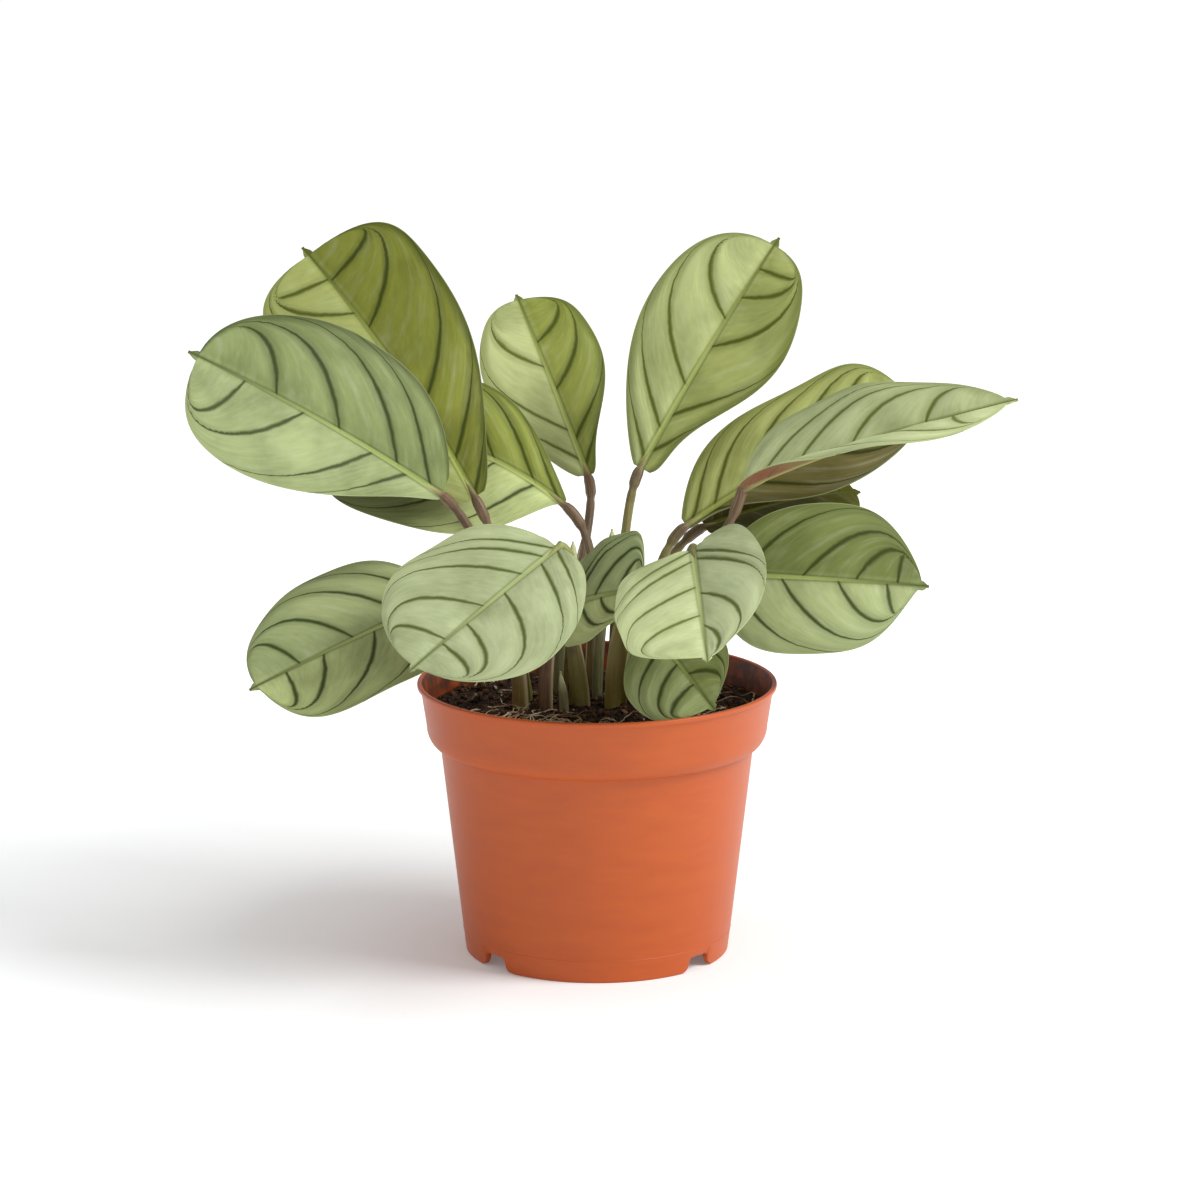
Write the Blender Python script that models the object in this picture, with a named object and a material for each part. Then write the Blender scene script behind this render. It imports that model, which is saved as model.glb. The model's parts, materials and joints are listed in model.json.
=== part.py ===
"""Potted ctenanthe: silvery leaves with dark veins, in a plastic nursery pot.

Metres, +Z up, plant's front towards -Y. The origin lies on the pot's axis, on the
surface that the pot stands on. Every length below is in millimetres and every angle
in degrees; MM turns lengths into metres where a mesh is made.
"""
import math

import bmesh
import bpy
import numpy as np
from mathutils import Vector

MM = 0.001
GAP = 0.3            # clearance between pieces that touch

# Nursery pot, moulded in one piece.
POT_HEIGHT = 91.4
LIP_RADIUS = 59.7
LIP_HEIGHT = 1.6
BAND_TOP_RADIUS = 58.6
BAND_FOOT_RADIUS = 56.7
BAND_FOOT_Z = 77.5
BODY_TOP_RADIUS = 52.1
BODY_TOP_Z = 70.5
BASE_RADIUS = 43.9
WALL = 1.2
EDGE_ROUND = 0.5
FLOOR_Z = 7.0
FOOT_WIDTH = 1.8
LIP_WIDTH = 1.6
POT_SIDES = 64
NOTCH_ANGLES = (-130, -50, 50, 130)     # about +Z, from the front
NOTCH_HALF_WIDTH = 4.7
NOTCH_HEIGHT = 5.0
NOTCH_FLARE = 4.0
NOTCH_FLARE_TOP = 4.0   # height where the flare meets the notch's straight side
NOTCH_CORNER = 1.0
NOTCH_DEPTH = 8.0       # how far the notch cutter reaches each way from the base rim
DRAIN_HOLES = 8
DRAIN_HOLE_RADIUS = 3.5
DRAIN_HOLE_SIDES = 12
DRAIN_CIRCLE_RADIUS = 31.0
CUT_MARGIN = 1.0        # how far a cutter stands proud of what it cuts

# Potting soil, mounded a little towards the crown of the plant.
SOIL_EDGE_Z = 82.6
SOIL_CROWN_Z = 85.2
SOIL_RINGS = (0.35, 0.7, 0.92)     # shares of the soil's radius
SOCKET_DEPTH = 10.0

# Leaf blades and the stalks that carry them.
BLADE_THICKNESS = 0.6
BLADE_START = 0.012     # share of the midrib where the blade's base edge lies
WIDTH_PLACES = (0.1, 0.3, 0.5, 0.7, 0.9)    # shares of the midrib
REACH_WIDTH = 30.0      # half width at which lead and lobe reach their full length
BLUNT_END = 0.965       # share of the midrib where the blunt oval ends
SPUR_START = 0.9
SPUR_HALF_WIDTH = 1.6
SPUR_TAPER = 60.0       # half width of the drip tip, per share of the midrib left to its end
LEAST_HALF_WIDTH = 0.45
EDGE_LAG = 0.35         # how far the left edge's wave runs ahead of the right's
STATIONS = 13
ACROSS = (-1.0, -0.6, 0.0, 0.6, 1.0)
STALK_SIDES = 8
STALK_RINGS = 12
STALK_WAIST = 1.5       # radius of a stalk above its sheath
STALK_CLIMB = 0.45      # share of its height that a stalk rises before it leans
SHEATH_SHARE = 0.6      # share of the stalk that the sheath wraps
SHEATH_POWER = 0.8      # below 1, the sheath narrows faster near its top
JOINT_RADIUS = 1.7      # radius of the swollen joint under the blade
JOINT_LENGTH = 12.0
JOINT_RAMP = 0.1        # share of the stalk over which it swells to the joint
JOINT_END_RADIUS = 1.1
JOINT_GAP = 0.8         # measured along the midrib; the slanted faces come nearer
SHOOT_TIP_SHARE = 0.2   # tip radius of a rolled leaf, as a share of its greatest
SHOOT_POWER = 6         # the greater, the nearer its tip a rolled leaf starts to taper

# One row a leaf. Blade: where the midrib starts and ends, turn about the midrib and its
# change from base to tip, rise and curl of each half, arch of the midrib upwards and
# sideways, edge wave. left and right are the half widths at WIDTH_PLACES; lead and lobe
# are how far each half reaches ahead near the tip, and back past the base.
# Stalk: foot on the soil, sheath radius, length of the bend under the blade. Some leaves
# add climb, in place of STALK_CLIMB, hang, how far the bend dips below the joint, or gap,
# in place of JOINT_GAP.
LEAVES = {
    "back_left": dict(
        base=(-40, 12, 150), tip=(-99, 50, 229), roll=42, twist=0, fold=8, curl=10, bow=4,
        sway=2, wave=0.8, left=(11, 20, 26.5, 29.5, 23.5), right=(10.5, 21.5, 29, 31, 26.5),
        lead=(-1, 4.5), lobe=(0, 0), foot=(-25, 9), sheath=2.6, bend=14),
    "left": dict(
        base=(-50, -12, 156), tip=(-131, -30, 207), roll=60, twist=0, fold=8, curl=10, bow=3,
        sway=0.5, wave=0.8, left=(6.5, 18, 27.5, 30.5, 23), right=(20, 31.5, 33, 29, 16.5),
        lead=(2, 0), lobe=(0, 0), foot=(-25, -7), sheath=3.0, bend=10),
    "inner_left": dict(
        base=(-10, 25, 145), tip=(-94, 46, 164), roll=54, twist=0, fold=8, curl=10, bow=8,
        sway=8, wave=0.6, left=(8.5, 28, 33.5, 31, 20), right=(9, 21, 24, 20, 13),
        lead=(0, 0), lobe=(0, 0), foot=(-1, 14), sheath=2.8, bend=16),
    "back": dict(
        base=(-3, 52, 150), tip=(-28, 95, 206), roll=10, twist=0, fold=8, curl=10, bow=3,
        sway=-1, wave=0.4, left=(10.5, 20, 24, 21.5, 12.5), right=(5.5, 13, 20, 21, 16),
        lead=(0, 1), lobe=(0, 0), foot=(-10, 24), sheath=2.4, bend=12),
    "back_right": dict(
        base=(14, 22, 158), tip=(61, 45, 233), roll=-42, twist=0, fold=8, curl=10, bow=3,
        sway=0, wave=0.4, left=(9.7, 21, 27, 27, 17), right=(7, 14.5, 24, 24, 15),
        lead=(3, 0), lobe=(0, 0), foot=(7, 12), sheath=3.0, bend=10),
    "right_rear": dict(
        base=(29, 25, 138), tip=(109, 50, 178), roll=-45, twist=0, fold=8, curl=10, bow=3,
        sway=-1, wave=0.6, left=(12.5, 22.5, 23.3, 23.5, 19), right=(2, 8.7, 17.5, 18.5, 12),
        lead=(0, 0), lobe=(0, 0), foot=(14, 13), sheath=2.6, bend=10),
    "right_front": dict(
        base=(47, -15, 159), tip=(134, -45, 194), roll=-22, twist=-34, fold=34, curl=20, bow=3,
        sway=1, wave=1.2, left=(25, 25.7, 22, 16, 6), right=(12, 20, 27, 27, 13),
        lead=(0, 0), lobe=(0, 0), foot=(17, -3), sheath=2.6, bend=5, hang=20),
    "right_low": dict(
        base=(38, -2, 128), tip=(110, 4, 122.5), roll=-60, twist=0, fold=8, curl=10, bow=1.5,
        sway=0, wave=0.5, left=(12, 23, 26, 25.3, 12.5), right=(20, 26.8, 26.3, 22.5, 6.5),
        lead=(0, 0), lobe=(0, 0), foot=(18, 6), sheath=2.4, bend=10),
    "front_right": dict(
        base=(31, -38, 144), tip=(34.5, -94, 120), roll=-18, twist=30, fold=12, curl=10, bow=0,
        sway=0, wave=0.8, left=(18, 23, 23, 16.5, 6), right=(23, 27, 27.5, 26, 21),
        lead=(0, 6), lobe=(8, 6), foot=(6, -7), sheath=3.6, bend=14, climb=0.95,
        hang=18, gap=1.4),
    "centre_small": dict(
        base=(-9, -13, 119), tip=(16, -36, 130), roll=-60, twist=0, fold=8, curl=10, bow=3,
        sway=0, wave=0.5, left=(15, 17.5, 20, 21, 18.5), right=(15, 16, 15, 11, 7),
        lead=(0, 0), lobe=(0, 0), foot=(-6, -8), sheath=3.3, bend=3),
    "front_left": dict(
        base=(-12, -34, 144), tip=(-59, -78, 113), roll=20, twist=0, fold=8, curl=10, bow=0.5,
        sway=0, wave=0.8, left=(17.7, 28, 33, 31, 19), right=(23.6, 30.5, 32.5, 30, 16.6),
        lead=(0, 0), lobe=(0, 0), foot=(-17, -9), sheath=2.4, bend=14, climb=0.85,
        hang=18, gap=1.4),
    "left_low": dict(
        base=(-50, -12, 122), tip=(-112, -45, 99), roll=28, twist=0, fold=8, curl=10, bow=2,
        sway=-1, wave=0.6, left=(15, 26, 27, 26.5, 20.5), right=(23, 30, 30, 25.5, 14.5),
        lead=(0, 0), lobe=(0, 0), foot=(-24, 1), sheath=2.6, bend=14),
    "rim": dict(
        base=(12, -20, 120), tip=(38, -47, 92.8), roll=-30, twist=0, fold=8, curl=10, bow=1,
        sway=0, wave=0.5, left=(8, 14, 17, 15.2, 5.5), right=(6, 12, 19.7, 21.5, 15.7),
        lead=(0, 0), lobe=(0, 0), foot=(15, -11), sheath=2.2, bend=6),
    "right_inner": dict(
        base=(36, 45, 134), tip=(90, 62, 143), roll=-25, twist=0, fold=8, curl=10, bow=3,
        sway=0, wave=0.4, left=(10, 18, 20, 18, 12), right=(10, 18, 20, 18, 12),
        lead=(0, 0), lobe=(0, 0), foot=(8, 21), sheath=2.4, bend=10),
}

# Rolled new leaves and a bare sheath: foot on the soil, tip, greatest radius.
SHOOTS = {
    "rolled_leaf_right": dict(foot=(0, 4), tip=(5, 4, 142), radius=1.7),
    "rolled_leaf_left": dict(foot=(-13, 13), tip=(-8, 17, 135), radius=1.6),
    "papery_sheath": dict(foot=(-11, -15), tip=(-12, -15, 98), radius=1.5),
}

# Colour, roughness of each finish.
TERRACOTTA_PLASTIC = ("#B75A38", 0.45)
DARK_SOIL = ("#3A2A1C", 0.95)
SILVER_LEAF = ("#A3B582", 0.45)
OLIVE_LEAF = ("#97A55C", 0.45)
DEEP_LEAF = ("#6F8A5A", 0.45)
BROWN_STALK = ("#6E5648", 0.55)
OLIVE_STALK = ("#7C7A3A", 0.55)
PALE_SHOOT = ("#B9BE86", 0.60)
LEAF_FINISH = {
    "back_left": OLIVE_LEAF,
    "back": OLIVE_LEAF,
    "right_inner": OLIVE_LEAF,
    "centre_small": DEEP_LEAF,
    "rim": DEEP_LEAF,
    "right_low": DEEP_LEAF,
}
BROWN_STALKS = ("left", "back_left", "right_front", "front_left", "inner_left", "back")


def clear_scene():
    for old in list(bpy.data.objects):
        bpy.data.objects.remove(old, do_unlink=True)


def linear(channel):
    value = channel / 255.0
    if value <= 0.04045:
        return value / 12.92
    return ((value + 0.055) / 1.055) ** 2.4


def principled(name, finish):
    """Return the material of one finish, made once."""
    if name in bpy.data.materials:
        return bpy.data.materials[name]
    colour, roughness = finish
    channels = [linear(int(colour[i:i + 2], 16)) for i in (1, 3, 5)]
    material = bpy.data.materials.new(name)
    material.use_nodes = True
    shader = material.node_tree.nodes["Principled BSDF"]
    shader.inputs["Base Color"].default_value = (*channels, 1.0)
    shader.inputs["Roughness"].default_value = roughness
    shader.inputs["Metallic"].default_value = 0.0
    return material


def make_object(name, bm, material, smooth_angle=40.0):
    """Turn a bmesh in millimetres into a named, smooth-shaded object in metres."""
    bmesh.ops.recalc_face_normals(bm, faces=bm.faces)
    bmesh.ops.scale(bm, vec=(MM, MM, MM), verts=bm.verts)
    mesh = bpy.data.meshes.new(name)
    bm.to_mesh(mesh)
    bm.free()
    mesh.shade_smooth()
    mesh.set_sharp_from_angle(angle=math.radians(smooth_angle))
    mesh.materials.append(material)
    item = bpy.data.objects.new(name, mesh)
    bpy.context.scene.collection.objects.link(item)
    return item


def bridge(bm, ring_a, ring_b, closed=True):
    """Join two rows of vertices with quads."""
    count = len(ring_a)
    for i in range(count if closed else count - 1):
        j = (i + 1) % count
        bm.faces.new((ring_a[i], ring_a[j], ring_b[j], ring_b[i]))


def revolve(profile, sides):
    """Turn an open (radius, z) profile, both ends on the axis, into a closed body."""
    bm = bmesh.new()
    angles = [math.tau * i / sides - math.pi / 2 for i in range(sides)]
    rings = []
    for radius, z in profile[1:-1]:
        rings.append([bm.verts.new((radius * math.cos(a), radius * math.sin(a), z)) for a in angles])
    for ring_a, ring_b in zip(rings, rings[1:]):
        bridge(bm, ring_a, ring_b)
    for (_, z), ring in ((profile[0], rings[0]), (profile[-1], rings[-1])):
        pole = bm.verts.new((0, 0, z))
        for i in range(sides):
            bm.faces.new((pole, ring[i], ring[(i + 1) % sides]))
    return bm


def arc(centre, radius, start, end, count):
    """Points of an arc in the (radius, z) plane."""
    points = []
    for i in range(count):
        angle = math.radians(start + (end - start) * i / (count - 1))
        points.append((centre[0] + radius * math.cos(angle), centre[1] + radius * math.sin(angle)))
    return points


def cutter_object(name, bm):
    item = make_object(name, bm, principled("cutter", DARK_SOIL))
    item.hide_render = True
    item.display_type = "WIRE"
    return item


def cut(item, cutter):
    modifier = item.modifiers.new("cut_" + cutter.name, "BOOLEAN")
    modifier.operation = "DIFFERENCE"
    modifier.solver = "EXACT"
    modifier.object = cutter


def shoulder(inset, lift):
    """Rounded step from the body out to the band, bottom to top, set in from the outside."""
    reach = BAND_FOOT_RADIUS - BODY_TOP_RADIUS
    height = BAND_FOOT_Z - BODY_TOP_Z
    points = []
    for degrees in (0, 25, 50, 75):
        turn = math.radians(degrees)
        points.append((
            BODY_TOP_RADIUS - inset + reach * math.sin(turn),
            BAND_FOOT_Z + lift - height * math.cos(turn)))
    return points + [(BAND_FOOT_RADIUS - inset, BAND_FOOT_Z + lift)]


def inner_wall():
    """Inside of the pot, top to bottom: band, rounded shoulder, body."""
    taper = (BODY_TOP_RADIUS - BASE_RADIUS) / BODY_TOP_Z
    floor_top = FLOOR_Z + WALL
    return ([(BAND_TOP_RADIUS - WALL, POT_HEIGHT - LIP_HEIGHT)]
            + shoulder(WALL, WALL / 2)[::-1]
            + [(BASE_RADIUS - WALL + taper * floor_top, floor_top)])


def pot_body():
    lip_foot = POT_HEIGHT - LIP_HEIGHT
    lip_top = POT_HEIGHT - EDGE_ROUND
    foot_inside = BASE_RADIUS - FOOT_WIDTH
    outside = [
        (0, FLOOR_Z),
        (foot_inside, FLOOR_Z),
        (foot_inside, 0),
        (BASE_RADIUS - EDGE_ROUND, 0),
        (BASE_RADIUS, EDGE_ROUND),
    ]
    outside += shoulder(0, 0)
    outside += [
        (BAND_TOP_RADIUS, lip_foot),
        (LIP_RADIUS - EDGE_ROUND, lip_foot),
        (LIP_RADIUS, lip_foot + EDGE_ROUND),
    ]
    outside += arc((LIP_RADIUS - EDGE_ROUND, lip_top), EDGE_ROUND, 0, 90, 3)
    outside += arc((LIP_RADIUS - LIP_WIDTH + EDGE_ROUND, lip_top), EDGE_ROUND, 90, 180, 3)
    inside = inner_wall()
    return revolve(outside + inside + [(0, inside[-1][1])], POT_SIDES)


def foot_notches():
    """Cutter for the gaps between the feet: a slot whose mouth flares with round corners."""
    half = NOTCH_HALF_WIDTH
    mouth = half + NOTCH_FLARE
    side = [(mouth, -CUT_MARGIN), (mouth, 0)]
    for degrees in (30, 60):
        turn = math.radians(degrees)
        side.append((
            mouth - NOTCH_FLARE * math.sin(turn),
            NOTCH_FLARE_TOP * (1 - math.cos(turn))))
    side += [(half, NOTCH_FLARE_TOP), (half - NOTCH_CORNER, NOTCH_HEIGHT)]
    outline = side + [(-x, z) for x, z in reversed(side)]
    bm = bmesh.new()
    for angle in NOTCH_ANGLES:
        turn = math.radians(angle - 90)
        along = Vector((math.cos(turn), math.sin(turn), 0))
        across = Vector((-along.y, along.x, 0))
        rows = []
        for radius in (BASE_RADIUS - NOTCH_DEPTH, BASE_RADIUS + NOTCH_DEPTH):
            rows.append([bm.verts.new(along * radius + across * x + Vector((0, 0, z)))
                         for x, z in outline])
        bridge(bm, rows[0], rows[1])
        bm.faces.new(rows[0])
        bm.faces.new(rows[1])
    return bm


def posts(places, sides):
    """Cutter of upright round posts, given as (x, y, radius, low z, high z)."""
    bm = bmesh.new()
    for x, y, radius, low, high in places:
        rings = []
        for z in (low, high):
            rings.append([bm.verts.new((x + radius * math.cos(math.tau * i / sides),
                                        y + radius * math.sin(math.tau * i / sides), z))
                          for i in range(sides)])
        bridge(bm, rings[0], rings[1])
        bm.faces.new(rings[0])
        bm.faces.new(rings[1])
    return bm


def drain_holes():
    places = []
    for i in range(DRAIN_HOLES):
        angle = math.tau * (i + 0.5) / DRAIN_HOLES
        places.append((DRAIN_CIRCLE_RADIUS * math.cos(angle), DRAIN_CIRCLE_RADIUS * math.sin(angle),
                       DRAIN_HOLE_RADIUS, FLOOR_Z - CUT_MARGIN, FLOOR_Z + WALL + CUT_MARGIN))
    return posts(places, DRAIN_HOLE_SIDES)


def make_pot():
    pot = make_object("pot", pot_body(), principled("terracotta_plastic", TERRACOTTA_PLASTIC))
    cut(pot, cutter_object("notch_cutter", foot_notches()))
    cut(pot, cutter_object("drain_cutter", drain_holes()))


def soil_sockets():
    """Cutter for the holes that the stalks and shoots stand in."""
    low = SOIL_CROWN_Z - SOCKET_DEPTH
    feet = [(*leaf["foot"], leaf["sheath"]) for leaf in LEAVES.values()]
    feet += [(*shoot["foot"], shoot["radius"]) for shoot in SHOOTS.values()]
    reach = 1 / math.cos(math.pi / STALK_SIDES)
    return posts([(x, y, (radius + GAP) * reach, low - GAP, SOIL_CROWN_Z + CUT_MARGIN)
                  for x, y, radius in feet], STALK_SIDES)


def make_soil():
    band_top, *_, (floor_radius, floor_z) = inner_wall()
    side = shoulder(WALL + GAP, WALL / 2 + GAP)[::-1]
    band = sorted((band_top, side[0]), key=lambda point: point[1])
    edge_radius = np.interp(SOIL_EDGE_Z, [z for _, z in band], [r for r, _ in band]) - GAP
    rise = SOIL_CROWN_Z - SOIL_EDGE_Z
    profile = [(0, SOIL_CROWN_Z)]
    for share in SOIL_RINGS:
        profile.append((edge_radius * share, SOIL_CROWN_Z - rise * share ** 2))
    profile.append((edge_radius, SOIL_EDGE_Z))
    profile += side
    profile += [(floor_radius - GAP, floor_z + GAP), (0, floor_z + GAP)]
    bm = revolve(profile, POT_SIDES)
    soil = make_object("potting_soil", bm, principled("dark_soil", DARK_SOIL))
    cut(soil, cutter_object("socket_cutter", soil_sockets()))


def unit(vector):
    return vector / np.linalg.norm(vector)


def midrib_frame(leaf):
    """Direction along the midrib's chord, to its right, and up from the upper face."""
    along = unit(np.array(leaf["tip"], float) - np.array(leaf["base"], float))
    right = unit(np.cross(along, (0, 0, 1)))
    return along, right, np.cross(right, along)


def half_width(leaf, u, v):
    """Half width at u along the midrib, on the side of v: a blunt oval with a drip tip."""
    share = np.clip(u / BLUNT_END, 0, 1)
    places = np.array(WIDTH_PLACES) / BLUNT_END
    ovals = []
    for widths in (leaf["left"], leaf["right"]):
        fullness = np.polyfit(places, widths / np.sqrt(places * (1 - places)), len(widths) - 1)
        ovals.append(np.sqrt(share * (1 - share)) * np.polyval(fullness, share))
    spur = np.clip((1 - u) * SPUR_TAPER, LEAST_HALF_WIDTH, SPUR_HALF_WIDTH)
    least = np.where(u > SPUR_START, spur, LEAST_HALF_WIDTH)
    return np.maximum(np.where(v < 0, ovals[0], ovals[1]), least)


def blade_surface(leaf, u, v):
    """Points of the blade's middle surface, u from base to tip, v from left to right edge."""
    along, right, up = midrib_frame(leaf)
    u, v = np.meshgrid(u, v, indexing="ij")
    width = half_width(leaf, u, v)
    slope = np.radians(leaf["fold"] - leaf["curl"] * np.abs(v) / 2)
    arch = 4 * u * (1 - u)
    phase = np.where(v > 0, 2 * u, 2 * u + EDGE_LAG)
    ripple = leaf["wave"] * v ** 2 * np.sin(math.tau * phase) * np.sin(math.pi * u)
    side = width * v * np.cos(slope) + leaf["sway"] * arch
    rise = width * np.abs(v) * np.sin(slope) + leaf["bow"] * arch + ripple
    turn = np.radians(leaf["roll"] + leaf["twist"] * (u - 0.5))
    to_right = side * np.cos(turn) - rise * np.sin(turn)
    to_up = side * np.sin(turn) + rise * np.cos(turn)
    lead, lobe = (np.where(v < 0, *leaf[key]) for key in ("lead", "lobe"))
    reach = width * np.abs(v) / REACH_WIDTH * (lead * u ** 2 - lobe * (1 - u) ** 2)
    base = np.array(leaf["base"], float)
    chord = np.array(leaf["tip"], float) - base
    return (base + u[..., None] * chord + reach[..., None] * along
            + to_right[..., None] * right + to_up[..., None] * up)


def surface_normals(points):
    lengthwise = np.gradient(points, axis=0)
    crosswise = np.gradient(points, axis=1)
    normals = np.cross(crosswise, lengthwise)
    return normals / np.linalg.norm(normals, axis=2, keepdims=True)


def make_blade(name, leaf):
    share = np.linspace(0, 1, STATIONS)
    u = BLADE_START + (1 - BLADE_START) * (0.5 - 0.5 * np.cos(math.pi * share))
    points = blade_surface(leaf, u, np.array(ACROSS))
    offset = surface_normals(points) * BLADE_THICKNESS / 2
    bm = bmesh.new()
    grids = []
    for grid in (points + offset, points - offset):
        grids.append([[bm.verts.new(place) for place in row] for row in grid])
        for row_a, row_b in zip(grids[-1], grids[-1][1:]):
            bridge(bm, row_a, row_b, closed=False)
    rims = []
    for grid in grids:
        left = [row[0] for row in grid]
        right = [row[-1] for row in grid]
        rims.append(left + grid[-1][1:-1] + right[::-1] + grid[0][1:-1][::-1])
    bridge(bm, rims[0], rims[1])
    finish = LEAF_FINISH.get(name, SILVER_LEAF)
    make_object("blade_" + name, bm, principled("leaf_" + finish[0][1:], finish))


def bezier(points, t):
    a, b, c, d = (np.array(point, float) for point in points)
    s = 1 - t
    return a * s ** 3 + 3 * b * s ** 2 * t + 3 * c * s * t ** 2 + d * t ** 3


def sweep(centres, radii, sides):
    """Round bar along a path, with flat ends."""
    bm = bmesh.new()
    rings = []
    side = np.array((1.0, 0, 0))
    for i, (centre, radius) in enumerate(zip(centres, radii)):
        ahead = centres[min(i + 1, len(centres) - 1)] - centres[max(i - 1, 0)]
        ahead = unit(ahead)
        side = unit(side - ahead * np.dot(side, ahead))
        other = np.cross(ahead, side)
        ring = []
        for k in range(sides):
            turn = math.tau * (k + 0.5) / sides
            ring.append(bm.verts.new(centre + radius * (math.cos(turn) * side + math.sin(turn) * other)))
        rings.append(ring)
    for ring_a, ring_b in zip(rings, rings[1:]):
        bridge(bm, ring_a, ring_b)
    bm.faces.new(rings[0])
    bm.faces.new(rings[-1])
    return bm


def stalk_path(leaf):
    """Control points of a stalk, from the soil to the joint under the blade."""
    along, right, up = midrib_frame(leaf)
    turn = math.radians(leaf["roll"] - leaf["twist"] / 2)
    turned_right = right * math.cos(turn) + up * math.sin(turn)
    turned_up = up * math.cos(turn) - right * math.sin(turn)
    chord = np.array(leaf["tip"], float) - np.array(leaf["base"], float)
    start = blade_surface(leaf, np.array([BLADE_START]), np.array([0.0]))[0, 0]
    heading = unit(chord + 4 * (leaf["bow"] * turned_up + leaf["sway"] * turned_right))
    end = start - heading * leaf.get("gap", JOINT_GAP)
    foot = np.array((*leaf["foot"], SOIL_CROWN_Z))
    climb = leaf.get("climb", STALK_CLIMB) * (end[2] - foot[2])
    neck = end - heading * leaf["bend"] - np.array((0, 0, leaf.get("hang", 0)))
    return foot, foot + np.array((0, 0, climb)), neck, end


def make_stalk(name, leaf):
    path = stalk_path(leaf)
    below = path[0] - np.array((0, 0, SOCKET_DEPTH))
    steps = np.linspace(0, 1, STALK_RINGS)
    centres = [below] + [bezier(path, t) for t in steps]
    length = np.linalg.norm(path[3] - path[0])
    joint = 1 - JOINT_LENGTH / length
    radii = [leaf["sheath"]]
    for t in steps:
        sheath = (leaf["sheath"] - STALK_WAIST) * max(0, 1 - t / SHEATH_SHARE) ** SHEATH_POWER
        swell = (JOINT_RADIUS - STALK_WAIST) * np.clip((t - joint) / JOINT_RAMP + 1, 0, 1)
        radii.append(STALK_WAIST + sheath + swell)
    radii[-1] = JOINT_END_RADIUS
    finish = BROWN_STALK if name in BROWN_STALKS else OLIVE_STALK
    bm = sweep(centres, radii, STALK_SIDES)
    make_object("stalk_" + name, bm, principled("stalk_" + finish[0][1:], finish))


def make_shoot(name, shoot):
    foot = np.array((*shoot["foot"], SOIL_CROWN_Z))
    tip = np.array(shoot["tip"], float)
    below = foot - np.array((0, 0, SOCKET_DEPTH))
    rise = np.array((0, 0, 0.5 * (tip[2] - foot[2])))
    path = (foot, foot + rise, tip - 0.5 * rise, tip)
    steps = np.linspace(0, 1, STALK_RINGS - 2)
    centres = [below] + [bezier(path, t) for t in steps]
    radii = [shoot["radius"]]
    radii += [shoot["radius"] * max(SHOOT_TIP_SHARE, 1 - t ** SHOOT_POWER) for t in steps]
    bm = sweep(centres, radii, STALK_SIDES)
    make_object(name, bm, principled("pale_shoot", PALE_SHOOT))


def build():
    clear_scene()
    make_pot()
    make_soil()
    for name, leaf in LEAVES.items():
        make_blade(name, leaf)
        make_stalk(name, leaf)
    for name, shoot in SHOOTS.items():
        make_shoot(name, shoot)


build()
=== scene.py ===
"""Looks of the potted ctenanthe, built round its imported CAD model."""

import json
import math

import bmesh
import bpy
import numpy as np
from mathutils import Euler, Matrix, Vector, noise


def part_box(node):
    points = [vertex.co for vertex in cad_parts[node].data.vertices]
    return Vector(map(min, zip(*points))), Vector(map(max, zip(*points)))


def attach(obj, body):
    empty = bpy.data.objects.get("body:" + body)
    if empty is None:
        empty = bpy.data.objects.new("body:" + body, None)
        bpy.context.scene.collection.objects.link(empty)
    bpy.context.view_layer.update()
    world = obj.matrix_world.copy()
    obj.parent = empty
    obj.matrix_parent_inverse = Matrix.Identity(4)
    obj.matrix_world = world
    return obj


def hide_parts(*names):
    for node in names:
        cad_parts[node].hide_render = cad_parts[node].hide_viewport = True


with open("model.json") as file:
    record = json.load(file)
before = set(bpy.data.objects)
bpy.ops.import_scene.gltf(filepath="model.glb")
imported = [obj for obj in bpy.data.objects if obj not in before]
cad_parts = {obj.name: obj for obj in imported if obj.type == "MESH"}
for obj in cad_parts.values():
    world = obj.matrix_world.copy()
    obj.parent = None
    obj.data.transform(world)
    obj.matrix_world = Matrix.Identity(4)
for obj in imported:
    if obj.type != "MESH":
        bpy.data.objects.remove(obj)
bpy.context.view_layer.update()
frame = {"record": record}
slots = {part["node"]: part["material_slot"] for part in frame["record"]["subparts"]}

# ---- Camera and studio ----------------------------------------------------------
# A long lens 1.5 m away and a little above the plant, on a white paper sweep. One
# large soft light stands high at the right, and white walls fill the shade.

CAMERA_PLACE = (0.001, -1.550, 0.461)
CAMERA_DIP = 12.45          # degrees below level
CAMERA_LENS = 144.0
FLOOR_SIZE = 30.0
FLOOR_GLOW = (0.12, 0.55)   # own light of the paper: round the pot, and far behind it
GLOW_REACH = (0.06, 0.40)   # metres from the pot over which it rises
WALL_LIGHT = 0.50
KEY_PLACE = (0.97, -0.36, 1.10)
KEY_TARGET = (0, 0, 0.12)
KEY_SIZE = 0.7
KEY_POWER = 18.5


def linear(hex_colour):
    """sRGB hex to linear RGBA."""
    channels = [int(hex_colour[i:i + 2], 16) / 255 for i in (1, 3, 5)]
    return (*[c / 12.92 if c <= 0.04045 else ((c + 0.055) / 1.055) ** 2.4 for c in channels], 1.0)


def place(name, data, at=(0, 0, 0), turn=(0, 0, 0)):
    """Put an object in the scene, turned by degrees."""
    item = bpy.data.objects.new(name, data)
    item.location = at
    item.rotation_euler = [math.radians(degrees) for degrees in turn]
    bpy.context.scene.collection.objects.link(item)
    return item


def new_material(name, roughness, ior):
    """A Principled material with its even roughness and IOR: itself, its tree, its shader."""
    material = bpy.data.materials.new(name)
    material.use_nodes = True
    shader = material.node_tree.nodes["Principled BSDF"]
    shader.inputs["Roughness"].default_value = roughness
    shader.inputs["IOR"].default_value = ior
    return material, material.node_tree, shader


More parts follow.
